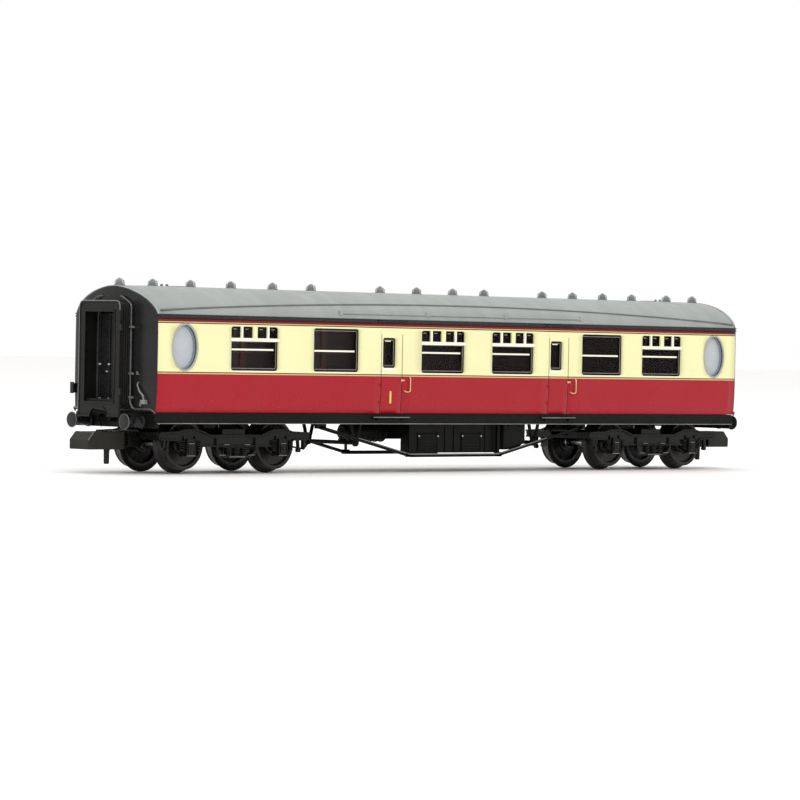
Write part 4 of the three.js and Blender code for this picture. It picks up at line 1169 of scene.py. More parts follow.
def gangway_faceplate():
    """The faceplate: rays between the doorway and the plate's edge, carried round a flat profile with a
    raised lip along both edges."""
    low, high = corners("gangway_faceplate_rear")
    back, face = low[0], high[0]
    outline = plate_outline()
    angles = ray_angles(doorway_corners(), outline)
    outer = by_angle(dense(outline), GANGWAY_CENTRE, angles)
    inner = by_angle(DOORWAY, GANGWAY_CENTRE, angles)
    away = outer - inner
    away /= np.linalg.norm(away, axis=1, keepdims=True)
    rows = [(inner, 0.0, back), (inner, 0.0, face - 0.05), (inner, 0.06, face), (inner, 0.32, face),
            (inner, 0.38, face - 0.1), (outer, -0.38, face - 0.1), (outer, -0.32, face), (outer, -0.06, face),
            (outer, 0.0, face - 0.05), (outer, 0.0, back)]
    points = [np.column_stack([np.full(len(angles), x), base + away * out]) for base, out, x in rows]
    return grid(np.stack(points, 1), wrap_rows=True, wrap_columns=True)


def gangway_door():
    """The end door in its opening: a leaf with raised stiles, rails and a kicking plate."""
    low, high = corners("gangway_door_rear")
    back, front = low[0], high[0]
    half = min(high[1], GANGWAY_OPENING - 0.05)
    z0, z1 = above(9.8), above(22.5)
    leaf = block((back, front - 0.2), (-half, half), (z0, z1))
    stiles = [block((front - 0.25, front), around(y, 0.13), (z0, z1)) for y in (-2.87, -0.72, 0.72, 2.87)]
    rails = [block((front - 0.25, front - 0.03), (-half, half), around(z, 0.14))
             for z in (above(10.1), above(14.0), above(15.05), above(22.2))]
    return merged(leaf, *stiles, *rails)


def door_catches():
    """Plated catches where the stiles and rails of the end door cross, their shine painted as a pale diffuse
    grey.
    """
    front = corners("gangway_door_rear")[1][0]
    catch = block((-0.05, 0.14), (-0.16, 0.16), (-0.12, 0.12))
    places = [(front, y, above(z)) for z in (10.1, 15.05) for y in (-2.7, -0.62, 0.62, 2.7)]
    return merged(copies(catch, places),
                  copies(dome(0.15, 0.2, "x"), [(front, -1.1, above(14.0)), (front, 1.1, above(14.0))]))


def end_pipes():
    """The rails on an end: one up each side of the gangway and over it, which turns out along the foot of the
    panel."""
    rails = []
    stand = 62.45
    for side in (-1, 1):
        rail = [(bow(1.9) + 0.02, side * 1.95, above(24.85)), (stand, side * 2.6, above(24.85)),
                (stand, side * 4.78, above(23.7)), (stand, side * 4.82, above(9.6)),
                (stand - 0.2, side * 5.3, above(8.75)), (bow(8.9) + 0.3, side * 8.9, above(8.75)),
                (bow(8.9) - 0.2, side * 9.0, above(8.2))]
        rails.append(tube(eased(rail, 0.45), 0.13, across=(1, 0, 0.05), sides=8))
    return merged(*rails)


def faceplate_bead():
    """A painted highlight: a pale bead along the faceplate's rim, up one edge, over the top and round the
    other corner.
    """
    high = corners("gangway_faceplate_rear")[1]
    x, y, z = high[0] - 0.03, high[1] - 0.04, high[2] - 0.04
    rim = [(x, -y, above(8.2)), (x, -y, z), (x, y, z), (x, y, z - 1.3)]
    return tube(eased(rim, 0.95, 9), 0.07, across=(1, 0.01, 0), sides=6)


def jumper_cable():
    """The jumper cable: out of the panel, down in a slack curve, and into its socket."""
    x = bow(6.5) + 0.35
    path = eased([(x - 0.4, 5.9, above(12.6)), (x, 5.95, above(12.3)), (x + 0.1, 6.6, above(11.3)),
                  (x, 7.3, above(10.7)), (x - 0.1, 7.4, above(10.0))], 0.25)
    cable = tube(path, 0.14, across=(1, 0.1, 0), sides=8)
    socket = block((bow(7.2) - 0.1, bow(7.2) + 0.55), (6.75, 7.75), heights(9.45, 10.1))
    return merged(cable, socket)


def far_socket():
    """A control socket near the other edge of an end: a deep box with a hinged lid."""
    wall = bow(8.5)
    body = block((wall - 0.1, wall + 0.75), (-8.9, -8.25), heights(10.8, 12.2))
    lid = block((wall + 0.7, wall + 0.9), (-8.95, -8.2), heights(10.7, 12.35))
    return merged(body, lid)


def lamp_irons():
    """Lamp irons: a bracket on the panel, bent up at its tip, in four places, and rail clips beside the
    gangway."""
    iron = merged(block((-0.05, 0.3), (-0.2, 0.2), (-0.06, 0.06)),
                  block((0.22, 0.32), (-0.2, 0.2), (0, 0.45)))
    irons = copies(iron, [(bow(y), y, above(z))
                          for y, z in ((5.95, 13.7), (-5.95, 13.7), (6.6, 9.2), (-6.6, 9.2))])
    clip = block((-0.4, 0.2), (-0.28, 0.28), (-0.16, 0.16))
    clips = copies(clip, [(62.4, side * 4.8, above(z)) for side in (-1, 1) for z in (20.45, 13.8, 10.4)])
    return merged(irons, clips)


def gangway_fittings():
    """What the faceplate carries: latch hooks at its sides and dowel heads."""
    low, high = corners("gangway_faceplate_rear")
    back, face = low[0], high[0]
    hook = block((back - 0.15, face - 0.02), (-0.22, 0.22), (-0.5, 0.5))
    hooks = copies(hook, [(0, side * 4.62, above(z)) for side in (-1, 1) for z in (11.2, 20.4)])
    dowels = copies(dome(0.17, 0.07, "x", segments=12),
                    [(face - 0.08, side * 3.95, above(z)) for side in (-1, 1)
                     for z in (9.0, 12.5, 19.8, 23.3)])
    return merged(hooks, dowels)


def buffer_shape():
    """A buffer: a round foot with a collar, a tapering housing, the ram and a shallow crowned head."""
    low, high = corners("buffer_rear_near")
    start, face = low[0], high[0]
    radius = (high[2] - low[2]) / 2
    centre = (0, (low[1] + high[1]) / 2, (low[2] + high[2]) / 2)
    profile = [(0, start - 0.05), (1.0, start - 0.05), (1.0, start + 0.2), (0.86, start + 0.3),
               (0.82, start + 0.9), (0.7, start + 1.5), (0.74, start + 1.6), (0.74, start + 1.85),
               (0.46, start + 1.92), (0.44, face - 0.5), (0.6, face - 0.42), (radius - 0.06, face - 0.3),
               (radius, face - 0.24), (radius, face - 0.14), (radius - 0.06, face - 0.08),
               (radius * 0.6, face - 0.02), (0, face)]
    return turn(profile, centre, "x", 48)


def build_ends():
    """Bellows, faceplates, doors, rails, sockets and buffers at both ends."""
    for name, end in ENDS.items():
        make(f"bellows_{name}", at_end(gangway_bellows(), end), BELLOWS_BLACK, slot="end_black",
             replaces=[f"gangway_bellows_{name}"], sharp=60)
        make(f"faceplate_{name}", at_end(gangway_faceplate(), end), PLATE_BLACK, slot="end_black",
             replaces=[f"gangway_faceplate_{name}"])
        make(f"end_door_{name}", at_end(gangway_door(), end), END_BLACK, slot="end_black",
             replaces=[f"gangway_door_{name}"], bevel=0.05)
        make(f"end_door_catches_{name}", at_end(door_catches(), end), PAINTED_SHINE_GREY, slot="plated_steel")
        make(f"end_handrails_{name}", at_end(end_pipes(), end), PIPE_BLACK_AND_HIGHLIGHT, slot="end_black")
        make(f"faceplate_bead_{name}", at_end(faceplate_bead(), end), PAINTED_HIGHLIGHT_GREY, slot="end_black")
        make(f"buffer_rims_{name}", buffer_rims(end), PAINTED_HIGHLIGHT_GREY, slot="end_black")
        # The jumper cable and its socket are pale grey all over as a painted highlight.
        make(f"jumper_cable_{name}", at_end(jumper_cable(), end), PAINTED_HIGHLIGHT_GREY, slot="end_black", bevel=0.05)
        make(f"control_socket_{name}", changed(far_socket(), (end, -1, 1)), END_BLACK,
             slot="end_black", bevel=0.05)
        # The lamp irons and rail clips are pale grey all over as a painted highlight.
        make(f"lamp_irons_{name}", at_end(lamp_irons(), end), PAINTED_HIGHLIGHT_GREY, slot="end_black", bevel=0.03)
        make(f"gangway_latches_{name}", at_end(gangway_fittings(), end), END_BLACK,
             slot="end_black", bevel=0.05)
        for side_name, side in SIDES.items():
            make(f"buffer_assembly_{name}_{side_name}", changed(buffer_shape(), (end, -side, 1)), END_BLACK,
                 slot="end_black", replaces=[f"buffer_{name}_{side_name}"], sharp=30)


# ------------------------------------------------------------------------------------------------ underframe

def solebar_strips(proud, low, high):
    """A straight strip along the face of each solebar, as proud of it as asked, between two heights."""
    xs = (-SOLEBAR_HALF_LENGTH, SOLEBAR_HALF_LENGTH)

    def one(side):
        return block(xs, (side * SOLEBAR_OUTER, side * (SOLEBAR_OUTER + proud)), (low, high))

    return mirrored_sides(one)


def solebar_flanges():
    """The flange along the foot of each solebar, pale grey as a painted highlight of its lit outer edge."""
    return solebar_strips(0.2, SOLEBAR_Z[0], SOLEBAR_Z[0] + 0.13)


def solebar_heads():
    """The dark upper flange of each solebar, close under the body."""
    return solebar_strips(0.08, SOLEBAR_Z[1] - 0.2, SOLEBAR_Z[1])


def truss_lines(side):
    """Where a truss lies, from its CAD node: the heights of its boom, of its rakers' feet and of its top,
    and how far out its two faces are."""
    low, high = side_corners("truss", side)
    inner, outer = faces_across(low, high)
    return low[2] + 0.25, SOLEBAR_Z[0] - 0.45, high[2], inner, outer


def truss(side):
    """Angle-iron trussing: a flat web with a narrower foot flange along the boom and both rakers, and its
    posts."""
    corner_x, foot_x = TRUSS_CORNER_X, TRUSS_FOOT_X
    boom, raker, top, inner, outer = truss_lines(side)
    ys, flange = (side * (outer - 0.2), side * outer), (side * inner, side * outer)
    parts = [block((-corner_x, corner_x), ys, around(boom, 0.25)),
             block((-corner_x, corner_x), flange, (boom - 0.25, boom - 0.1))]
    for end in (-1, 1):
        start, finish = (end * foot_x, raker), (end * corner_x, boom)
        parts += [
            bar(start, finish, 0.5, ys),
            bar((start[0], start[1] - 0.18), (finish[0], finish[1] - 0.18), 0.14, flange),
            block(around(end * corner_x, 0.25), ys, (boom - 0.2, top)),
            block((end * corner_x - 0.25, end * corner_x - 0.1), flange, (boom, top)),
            block((end * (foot_x - 1.4), end * (foot_x + 0.6)), flange, (raker - 0.25, top)),
            block((end * (corner_x - 0.8), end * (corner_x + 0.8)), ys, (boom - 0.25, boom + 0.45)),
        ]
    bolts = [(end * (corner_x + gap), side * outer, boom + rise) for end in (-1, 1) for gap in (-0.6, 0.6)
             for rise in (0.02, 0.3)]
    return merged(*parts, copies(dome(0.1, 0.1, "y", side), bolts))


def truss_edges(side):
    """Painted highlights: pale strips along the upper edges of the boom and of the lower part of both rakers.
    """
    corner_x, foot_x, hidden = TRUSS_CORNER_X, TRUSS_FOOT_X, 8
    boom, raker, _, _, outer = truss_lines(side)
    ys = (side * (outer - 0.02), side * (outer + 0.03))
    parts = [block((-corner_x, corner_x), ys, (boom + 0.1, boom + 0.27))]
    upper = raker - (raker - boom) * hidden / (foot_x - corner_x) + 0.17
    for end in (-1, 1):
        parts.append(bar((end * (foot_x - hidden), upper), (end * corner_x, boom + 0.17), 0.12, ys))
    return merged(*parts)


# A battery box's doors on each side: their middles along x, and the height of foot and head over the rail.
BATTERY_DOORS = {-1: ((-5.05, 4.15), 2.7, 5.3), 1: ((-2.6, 5.9), 4.4, 6.3)}


def battery_box(side):
    """A battery box: a case with two framed doors, each crossed by slats, and upright irons between them."""
    low, high = side_corners("battery_box", side)
    inner, outer = faces_across(low, high)
    front = outer - 0.2
    doors, door_low, door_high = BATTERY_DOORS[side]

    def raised_by(lift):
        return side * (front - 0.1), side * (front + lift)

    parts = [block((low[0], high[0]), (side * inner, side * front), (low[2], high[2]))]
    for x in doors:
        parts.append(block(around(x, 2.1), raised_by(0.08), heights(door_low, door_high)))
        for z in np.linspace(door_low + 0.15, door_high - 0.15, 6):
            parts.append(block(around(x, 1.75), raised_by(0.18), (above(z) - 0.1, above(z) + 0.08)))
        parts += [block(around(x + gap, 0.12), raised_by(0.2), heights(door_low - 0.1, door_high + 0.1))
                  for gap in (-2.0, 2.0)]
    for x in (low[0] + 0.2, sum(doors) / 2 - 0.9, sum(doors) / 2 + 1.0, doors[1] + 3.1, high[0] - 0.2):
        parts.append(block(around(x, 0.17), raised_by(0.14), (low[2], above(6.6))))
    parts.append(block((low[0], high[0]), raised_by(0.12), heights(6.5, 6.7)))
    return merged(*parts)


def battery_hinges(side):
    """Hinge ends of the battery box doors, pale as a painted highlight."""
    doors, _, door_high = BATTERY_DOORS[side]
    front = faces_across(*side_corners("battery_box", side))[1]
    places = [(x + gap, side * front, above(door_high - 0.45)) for x in doors for gap in (-2.0, 2.0)]
    return copies(dome(0.15, 0.1, "y", side), places)


def regulator_box(side):
    """The regulator case: its CAD side view with eased corners, a lid line and two catches."""
    low, high = side_corners("regulator_box", side)
    x0, x1, z0, z1 = low[0], high[0], low[2], high[2]
    outline = eased([(x0, z1), (x0, z0), (x1 - 1.7, z0 + 0.2), (x1, z0 + 1.2), (x1, z1)], 0.35, 4)
    case = prism(outline, "y", low[1], high[1])
    outer = side * faces_across(low, high)[1]
    lid = block((x0 - 0.05, x1 + 0.05), (outer - side * 2.2, outer + side * 0.06), (z1 - 1.3, z1 - 1.15))
    catches = [block(around(x, 0.15), (outer, outer + side * 0.12), (z1 - 1.7, z1 - 0.9))
               for x in (x0 + 1.2, x1 - 1.2)]
    return merged(case, lid, *catches)


def dynamo_shape():
    """The dynamo: a ribbed drum on its hanger, the shaft and a grooved pulley."""
    top = corners("dynamo")[1][2]
    y, z, radius = -1.2, above(5.3), 1.5
    drum = [(0, -16.5), (0.9, -16.5), (1.3, -16.35)]
    for x in even(-16.2, -10.4, 1.16):
        drum += [(radius - 0.12, x), (radius - 0.12, x + 0.3), (radius, x + 0.34), (radius, x + 0.5),
                 (radius - 0.12, x + 0.54)]
    drum += [(1.3, -9.85), (0, -9.8)]
    pulley = [(0, -18.1), (1.0, -18.1), (1.0, -17.95), (0.8, -17.75), (1.0, -17.55), (1.0, -17.4), (0, -17.4)]
    shaft = [(0, -18.2), (0.35, -18.2), (0.35, -16.2), (0, -16.2)]
    bracket = block((-14.8, -11.6), around(y, 0.6), (z, top))
    return merged(*(turn(part, (0, y, z), "x", 40) for part in (drum, pulley, shaft)), bracket)


def vacuum_cylinder(name):
    """A vacuum brake cylinder: a drum with rolled flanges and a dished foot, under its mounting."""
    low, high = corners(f"vacuum_cylinder_{name}")
    x, y = (low[0] + high[0]) / 2, (low[1] + high[1]) / 2
    radius, foot = (high[0] - low[0]) / 2, low[2]
    profile = [(0, foot), (0.5, foot + 0.02), (0.6, foot + 0.15), (radius - 0.1, foot + 0.18),
               (radius, foot + 0.26), (radius, foot + 0.44), (radius - 0.1, foot + 0.5),
               (radius - 0.1, foot + 2.1), (radius, foot + 2.16), (radius, foot + 2.4),
               (radius - 0.1, foot + 2.5), (0.6, foot + 2.75), (0, foot + 2.8)]
    mount = block(around(x, 0.6), around(y, 1), (foot + 2.2, high[2]))
    return merged(turn(profile, (x, y, 0), "z", 40), mount)


def brake_rigging(end):
    """A cross shaft in two V hangers, with its crank and the pull rod."""
    x, top = end * 18.9, above(7.95)
    parts = []
    for y in (-5.3, 5.3):
        for lean in (-1, 1):
            parts.append(bar((x + lean * 0.1, above(3.4)), (x + lean * 1.35, top), 0.55, around(y, 0.15)))
        parts.append(turn([(0, -0.25), (0.55, -0.25), (0.55, 0.25), (0, 0.25)], (x, y, above(3.8)), "y", 20))
        parts.append(block(around(x, 1.7), around(y, 0.25), (top - 0.2, top)))
    parts.append(turn([(0, -5.6), (0.3, -5.6), (0.3, 5.6), (0, 5.6)], (x, 0, above(3.8)), "y", 16))
    parts.append(bar((x, above(3.8)), (x + end * 1.2, above(2.6)), 0.5, (5.0, 5.5)))
    pull = np.array([(x + end * 1.2, 5.25, above(2.6)), (x + end * 8, 5.25, above(3.6))])
    parts.append(tube(pull, 0.15, across=(0, 1, 0), sides=8))
    return merged(*parts)


def step_board(name):
    """A footboard: a thin plank with a turned-up kerb, on two brackets of angle."""
    low, high = corners(name)
    side = 1 if high[1] > 0 else -1
    inner, outer = faces_across(low, high)
    x0, x1, top = low[0], high[0], high[2]
    plank = block((x0, x1), (side * inner, side * outer), (top - 0.2, top - 0.05))
    kerb = block((x0, x1), (side * (outer - 0.1), side * outer), (top - 0.2, top))
    middle = (x0 + x1) / 2
    irons = [block(around(middle + gap, 0.12), (side * inner, side * (inner + 0.12)), (low[2], top - 0.1))
             for gap in (-2.6, 2.6)]
    irons += [bar_across(middle + gap, side, inner, outer - 0.15, low[2] + 0.05, top - 0.2)
              for gap in (-2.6, 2.6)]
    return merged(plank, kerb, *irons)


def step_edge(name):
    """A painted highlight: a pale strip along the upper edge of a footboard."""
    low, high = corners(name)
    outer = high[1] if high[1] > 0 else low[1]
    return block((low[0], high[0]), (outer - np.sign(outer) * 0.1, outer + np.sign(outer) * 0.02),
                 (high[2] - 0.12, high[2] + 0.01))


def bar_across(x, side, inner, outer, z0, z1):
    """A thin gusset in the plane across the coach: from low at the solebar to high under the plank's edge."""
    return prism([(side * inner, z0), (side * inner, z0 + 0.12), (side * outer, z1),
                  (side * outer, z1 - 0.1)],
                 "x", x - 0.12, x + 0.12)


def headstock():
    """What hangs on a headstock: the drawhook plate, brake and heating hoses, and the buffer foot plates."""
    face = HEADSTOCK_FACE
    plate = block((face - 0.1, face + 0.12), (-1.3, 1.3), heights(6.3, 7.9))
    feet = [block((face - 0.1, face + 0.14), around(side * BUFFER_Y, 1.15), heights(6.1, 7.95))
            for side in (-1, 1)]
    bolts = [(face + 0.14, side * BUFFER_Y + dy, above(z)) for side in (-1, 1) for dy in (-0.9, 0.9)
             for z in (6.35, 7.7)]
    hook = block((face, face + 1.1), (-0.22, 0.22), heights(6.85, 7.35))
    hoses = []
    for y in (2.9, -2.9):
        path = eased([(face - 0.1, y, above(7.6)), (face + 0.55, y, above(7.6)),
                      (face + 0.75, y * 0.9, above(6.6)), (face + 0.35, y * 0.85, above(6.1))], 0.3)
        hoses.append(tube(path, 0.2, across=(0.1, 1, 0), sides=8))
    return merged(plate, *feet, hook, copies(dome(0.12, 0.12, "x"), bolts), *hoses)


def build_underframe():
    """Solebars, trusses, boxes, dynamo, brake gear and steps."""
    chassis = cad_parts["chassis"]
    chassis.data.materials.clear()
    chassis.data.materials.append(FRAME_BLACK)
    black = {"material": FRAME_BLACK, "slot": "underframe_black", "bevel": 0.05}
    make("solebar_heads", solebar_heads(), **black)
    make("solebar_flanges", solebar_flanges(), PAINTED_HIGHLIGHT_GREY, slot="underframe_black", bevel=0.03)
    for name, side in SIDES.items():
        make(f"trussing_{name}", truss(side), replaces=[f"truss_{name}"], **black)
        make(f"truss_edges_{name}", truss_edges(side), PAINTED_HIGHLIGHT_GREY, slot="underframe_black")
        make(f"battery_case_{name}", battery_box(side), replaces=[f"battery_box_{name}"], **black)
        make(f"battery_hinges_{name}", battery_hinges(side), PAINTED_SHINE_GREY, slot="plated_steel")
        make(f"regulator_case_{name}", regulator_box(side), replaces=[f"regulator_box_{name}"], **black)
        for i in (1, 2):
            board = f"step_board_{name}_{i}"
            make(f"footboard_{name}_{i}", step_board(board), replaces=[board], **black)
            make(f"footboard_edge_{name}_{i}", step_edge(board), PAINTED_HIGHLIGHT_GREY, slot="underframe_black")
    make("dynamo_machine", dynamo_shape(), replaces=["dynamo"], **black)
    for name, end in ENDS.items():
        make(f"brake_cylinder_{name}", vacuum_cylinder(name), replaces=[f"vacuum_cylinder_{name}"], **black)
        make(f"brake_shaft_{name}", brake_rigging(end), replaces=[f"brake_rigging_{name}"], **black)
        make(f"headstock_details_{name}", at_end(headstock(), end), **black)


# ------------------------------------------------------------------------------------------------ bogies

FRAME_TOP = ((-14.5, 5.45), (-11, 5.6), (-10, 5.87), (-8.5, 5.95), (-7, 5.87), (-4.9, 5.1),
             (4.9, 5.1), (7, 5.87), (8.5, 5.95), (10, 5.87), (11, 5.6), (14.5, 5.45))
FRAME_FOOT = ((14.5, 4.3), (11.2, 4.2), (10.1, 3.4), (10.1, 2.7), (7.4, 2.7), (7.4, 3.3), (5.3, 3.33))
FRAME_Y = (6.45, 7.3)


def raised(points):
    """Side-view points with their heights over the rail taken as heights over the flange tips."""
    return [(x, above(z)) for x, z in points]


def spaced(points, step):
    """Points at even distances along a polyline."""
    points = np.asarray(points, float)
    length = np.concatenate([[0], np.cumsum(np.hypot(*np.diff(points, axis=0).T))])
    at = np.linspace(0, length[-1], max(2, int(length[-1] / step)))
    return np.stack([np.interp(at, length, points[:, 0]), np.interp(at, length, points[:, 1])], -1)


def edge_strip(points, width, ys):
    """A strip along a polyline of a side view: each stretch a flat bar just inside the line."""
    return merged(*[bar(a, b, width, ys) for a, b in zip(points[:-1], points[1:])])


def side_frame(side):
    """One side of a bogie: the plate with flanged edges and rows of rivets, horn guides and ribbed
    axleboxes, bolster springs over the spring plank, and the brake hangers."""
    inner, outer = FRAME_Y
    face = outer - 0.25
    mirrored_foot = [(-x, z) for x, z in FRAME_FOOT][::-1]

    def ys(low, high):
        return side * low, side * high

    plate = prism(raised([*FRAME_TOP, *FRAME_FOOT, *mirrored_foot]), "y", *sorted(ys(inner, face)))
    top_line = [(x, z - 0.12) for x, z in FRAME_TOP]
    foot_line = [(14.4, 4.42), (11.2, 4.32), (10.2, 3.5)]
    parts = [plate, edge_strip(raised(top_line), 0.26, ys(inner, outer))]
    for mirror in (-1, 1):
        parts.append(edge_strip(raised([(mirror * x, z) for x, z in foot_line]), 0.24, ys(inner, outer)))
        parts.append(edge_strip(raised([(mirror * 7.2, 3.42), (mirror * 5.3, 3.45), (mirror * 0.2, 3.45)]),
                                0.24, ys(inner, outer)))
    rivet = dome(0.1, 0.09, "y", side, 6)
    rows = [spaced(raised([(x, z - 0.42) for x, z in FRAME_TOP]), 0.62),
            spaced(raised([(-5.2, 3.72), (5.2, 3.72)]), 0.62)]
    rows += [spaced(raised([(mirror * 14.1, 4.68), (mirror * 11.1, 4.6), (mirror * 10.4, 4.1)]), 0.6)
             for mirror in (-1, 1)]
    rows += [spaced(raised([(mirror * x, 3.6), (mirror * x, 4.95)]), 0.5) for mirror in (-1, 1)
             for x in (7.3, 10.5, 5.1)]
    rivets = np.concatenate(rows)
    places = np.column_stack([rivets[:, 0], np.full(len(rivets), side * face), rivets[:, 1]])
    parts.append(copies(rivet, places))
    for mirror in (-1, 1):
        x = mirror * (WHEELBASE / 2 + 0.1)
        parts.append(axlebox(x, side, ys))
        parts.append(brake_gear(mirror, side, ys))
    parts.append(bolster_springs(side, ys))
    return merged(*parts)


def axlebox(x, side, ys):
    """An axlebox between its horn guides: the case, ribs round a lid, the bolted tie under it and a coil
    each side."""
    inner, outer = FRAME_Y
    front = outer + 0.4
    case = block(around(x, 0.85), ys(inner + 0.1, front - 0.12), heights(2.1, 4.5))
    lid = prism(Loop.rounded(around(x, 0.55), heights(2.45, 3.75), 0.25, 5).points, "y",
                *sorted(ys(front - 0.14, front)))
    ribs = [block(around(x + a, 0.08), ys(front - 0.16, front - 0.02), heights(2.15, 4.5))
            for a in (-0.76, 0.76)]
    brow = block(around(x, 0.8), ys(front - 0.16, front - 0.02), heights(4.0, 4.16))
    horns = [block(around(x + a, 0.12), ys(inner, outer), heights(2.3, 4.9)) for a in (-1.05, 1.05)]
    tie = block(around(x, 1.35), ys(inner + 0.1, outer - 0.1), heights(1.95, 2.15))
    crown = turn([(0, -0.05), (0.3, -0.05), (0.26, 0.08), (0, 0.1)], (0, 0, 0), "y", 16)
    cap = changed(crown, (1, side, 1), (x, side * front, above(3.1)))
    coils = [coil((x + a, side * (outer - 0.1)), 0.34, above(2.9), above(4.1), 4, 0.09)
             for a in (-1.65, 1.65)]
    seats = [block(around(x + a, 0.4), ys(inner + 0.3, outer + 0.25), heights(z, z + 0.14))
             for a in (-1.65, 1.65) for z in (2.76, 4.1)]
    return merged(case, lid, brow, tie, cap, *ribs, *horns, *coils, *seats)


def bolster_springs(side, ys):
    """The spring plank hung under the frame: a dished beam with three coils over it and its swing links."""
    inner, outer = FRAME_Y
    beam = [(-4, 3.0), (-3.6, 2.3), (-2.6, 1.75), (2.6, 1.75), (3.6, 2.3), (4, 3.0), (3.5, 3.0), (3.1, 2.5),
            (2.3, 2.1), (-2.3, 2.1), (-3.1, 2.5), (-3.5, 3.0)]
    plank = prism(raised(beam), "y", *sorted(ys(inner + 0.1, outer + 0.2)))
    coils = [coil((x, side * (outer - 0.25)), 0.52, above(2.1), above(3.35), 4, 0.13) for x in (-1.5, 0, 1.5)]
    pads = [block((-2.4, 2.4), ys(inner + 0.1, outer), heights(3.2, 3.45))]
    links = [block(around(x, 0.16), ys(outer - 0.1, outer + 0.12), heights(2.6, 4.6))
             for x in (-3.75, 3.75)]
    steps = [block((-1.8, 1.8), ys(outer + 0.12, outer + 0.24), heights(1.72, 1.86))]
    return merged(plank, *coils, *pads, *links, *steps)


def brake_gear(mirror, side, ys):
    """A brake hanger outside the wheel with a round foot, and a strap beside it."""
    inner, outer = FRAME_Y
    hanger = bar((mirror * 12.5, above(4.7)), (mirror * 12.7, above(2.8)), 0.4, ys(inner - 0.1, inner + 0.35))
    foot = turn([(0, -0.3), (0.34, -0.3), (0.34, 0.3), (0, 0.3)],
                (mirror * 12.7, side * (inner + 0.1), above(2.8)), "y", 14)
    strap = block(around(mirror * 13.5, 0.2), ys(inner, outer - 0.2), heights(3.2, 4.6))
    return merged(hanger, foot, strap)


def bogie_middle():
    """The bogie between its sides: a bolster with a raised pivot pad, the spine, headstocks, cross beams and
    the coupler's tongue."""
    across = FRAME_Y[0] + 0.2
    top = corners("bogie_frame_rear")[1][2]
    bolster = block((-2.2, 2.2), (-across, across), heights(4.4, 5.9))
    pad = turn([(1.1, above(5.8)), (2.2, above(5.8)), (2.2, top - 0.08), (2.12, top), (1.1, top),
                (1.1, above(5.8))],
               (0, 0, 0), "z", 40)
    spine = block((-14.1, 14.1), (-1.9, 1.9), heights(4.75, 5.7))
    parts = [bolster, pad, spine]
    for end in (-1, 1):
        parts.append(block((end * 13.3, end * 14.1), (-across, across), heights(4.35, 5.4)))
        parts.append(block((end * 2.6, end * 2.9), (-6.3, 6.3), heights(4.5, 4.9)))
    pivot_x = (corners("coupler_pin_rear")[0][0] + corners("coupler_pin_rear")[1][0]) / 2 - BOGIE_CENTRE
    pivot_z = (corners("coupler_pin_rear")[0][2] + corners("coupler_pin_rear")[1][2]) / 2
    parts.append(block((13.3, 15.8), (-1.7, 1.7), heights(3.2, 5.4)))
    tongue = [(13.3, pivot_z - 0.7), (pivot_x + 0.6, pivot_z - 0.7), (pivot_x + 1.0, pivot_z - 0.3),
              (pivot_x + 1.0, pivot_z + 0.3), (pivot_x + 0.6, pivot_z + 0.7), (13.3, pivot_z + 0.7)]
    parts.append(prism(tongue, "y", -1.25, 1.25))
    return merged(*parts)


def wheel_shape():
    """A coach wheel: a coned tread with its flange, a dished web and a stepped boss, turned about the
    axle."""
    low, high = corners("wheel_rear_outer_far")
    back, front = low[1], high[1]
    flange = (high[2] - low[2]) / 2
    tread, bore = flange - RAIL_TOP, 0.75
    profile = [(bore, back - 0.05), (1.35, back - 0.05), (1.45, back + 0.25), (tread - 0.75, back + 0.5),
               (tread - 0.6, back + 0.05), (flange - 0.15, back), (flange, back + 0.1),
               (flange - 0.02, back + 0.22), (flange - 0.14, back + 0.34), (tread + 0.14, back + 0.5),
               (tread + 0.05, back + 0.62), (tread, front - 0.1), (tread - 0.08, front), (tread - 0.5, front),
               (tread - 0.58, front - 0.06), (tread - 0.72, front - 0.5), (2.0, front - 0.75),
               (1.5, front - 0.72), (1.3, front - 0.4), (1.22, front - 0.34), (bore, front - 0.34),
               (bore, back - 0.05)]
    return turn(profile, (0, 0, 0), "y", 72)


def tyre_shape():
    """The turned steel band on a wheel's face and tread."""
    low, high = corners("wheel_rear_outer_far")
    front, tread = high[1], (high[2] - low[2]) / 2 - RAIL_TOP
    band = [(tread - 0.3, front - 0.05), (tread - 0.3, front + 0.015), (tread - 0.12, front + 0.015),
            (tread + 0.015, front - 0.1), (tread + 0.015, front - 0.5), (tread - 0.05, front - 0.5),
            (tread - 0.3, front - 0.05)]
    return turn(band, (0, 0, 0), "y", 72)


def bogie_shine(side):
    """Painted highlights on a side frame: pale strips on the axlebox ties and brows, the bolster, the spring
    plank and the steps, as their middle, half length, near and far face, and lower and upper height."""
    outer = FRAME_Y[1]
    edges = [(0, 1.5, 0.1, 0.26, 1.84, 1.94), (-2.8, 0.6, 0.1, 0.22, 2.1, 2.18),
             (2.8, 0.6, 0.1, 0.22, 2.1, 2.18)]
    for mirror in (-1, 1):
        x = mirror * (WHEELBASE / 2 + 0.1)
        edges += [(x, 0.75, 0, 0.3, 2.02, 2.12), (x, 0.5, 0.3, 0.42, 3.78, 3.86),
                  (mirror * 2.0, 0.5, 0, 0.2, 3.62, 3.7)]
    return merged(*[block(around(x, half), (side * (outer + near), side * (outer + far)),
                          heights(low, high)) for x, half, near, far, low, high in edges])


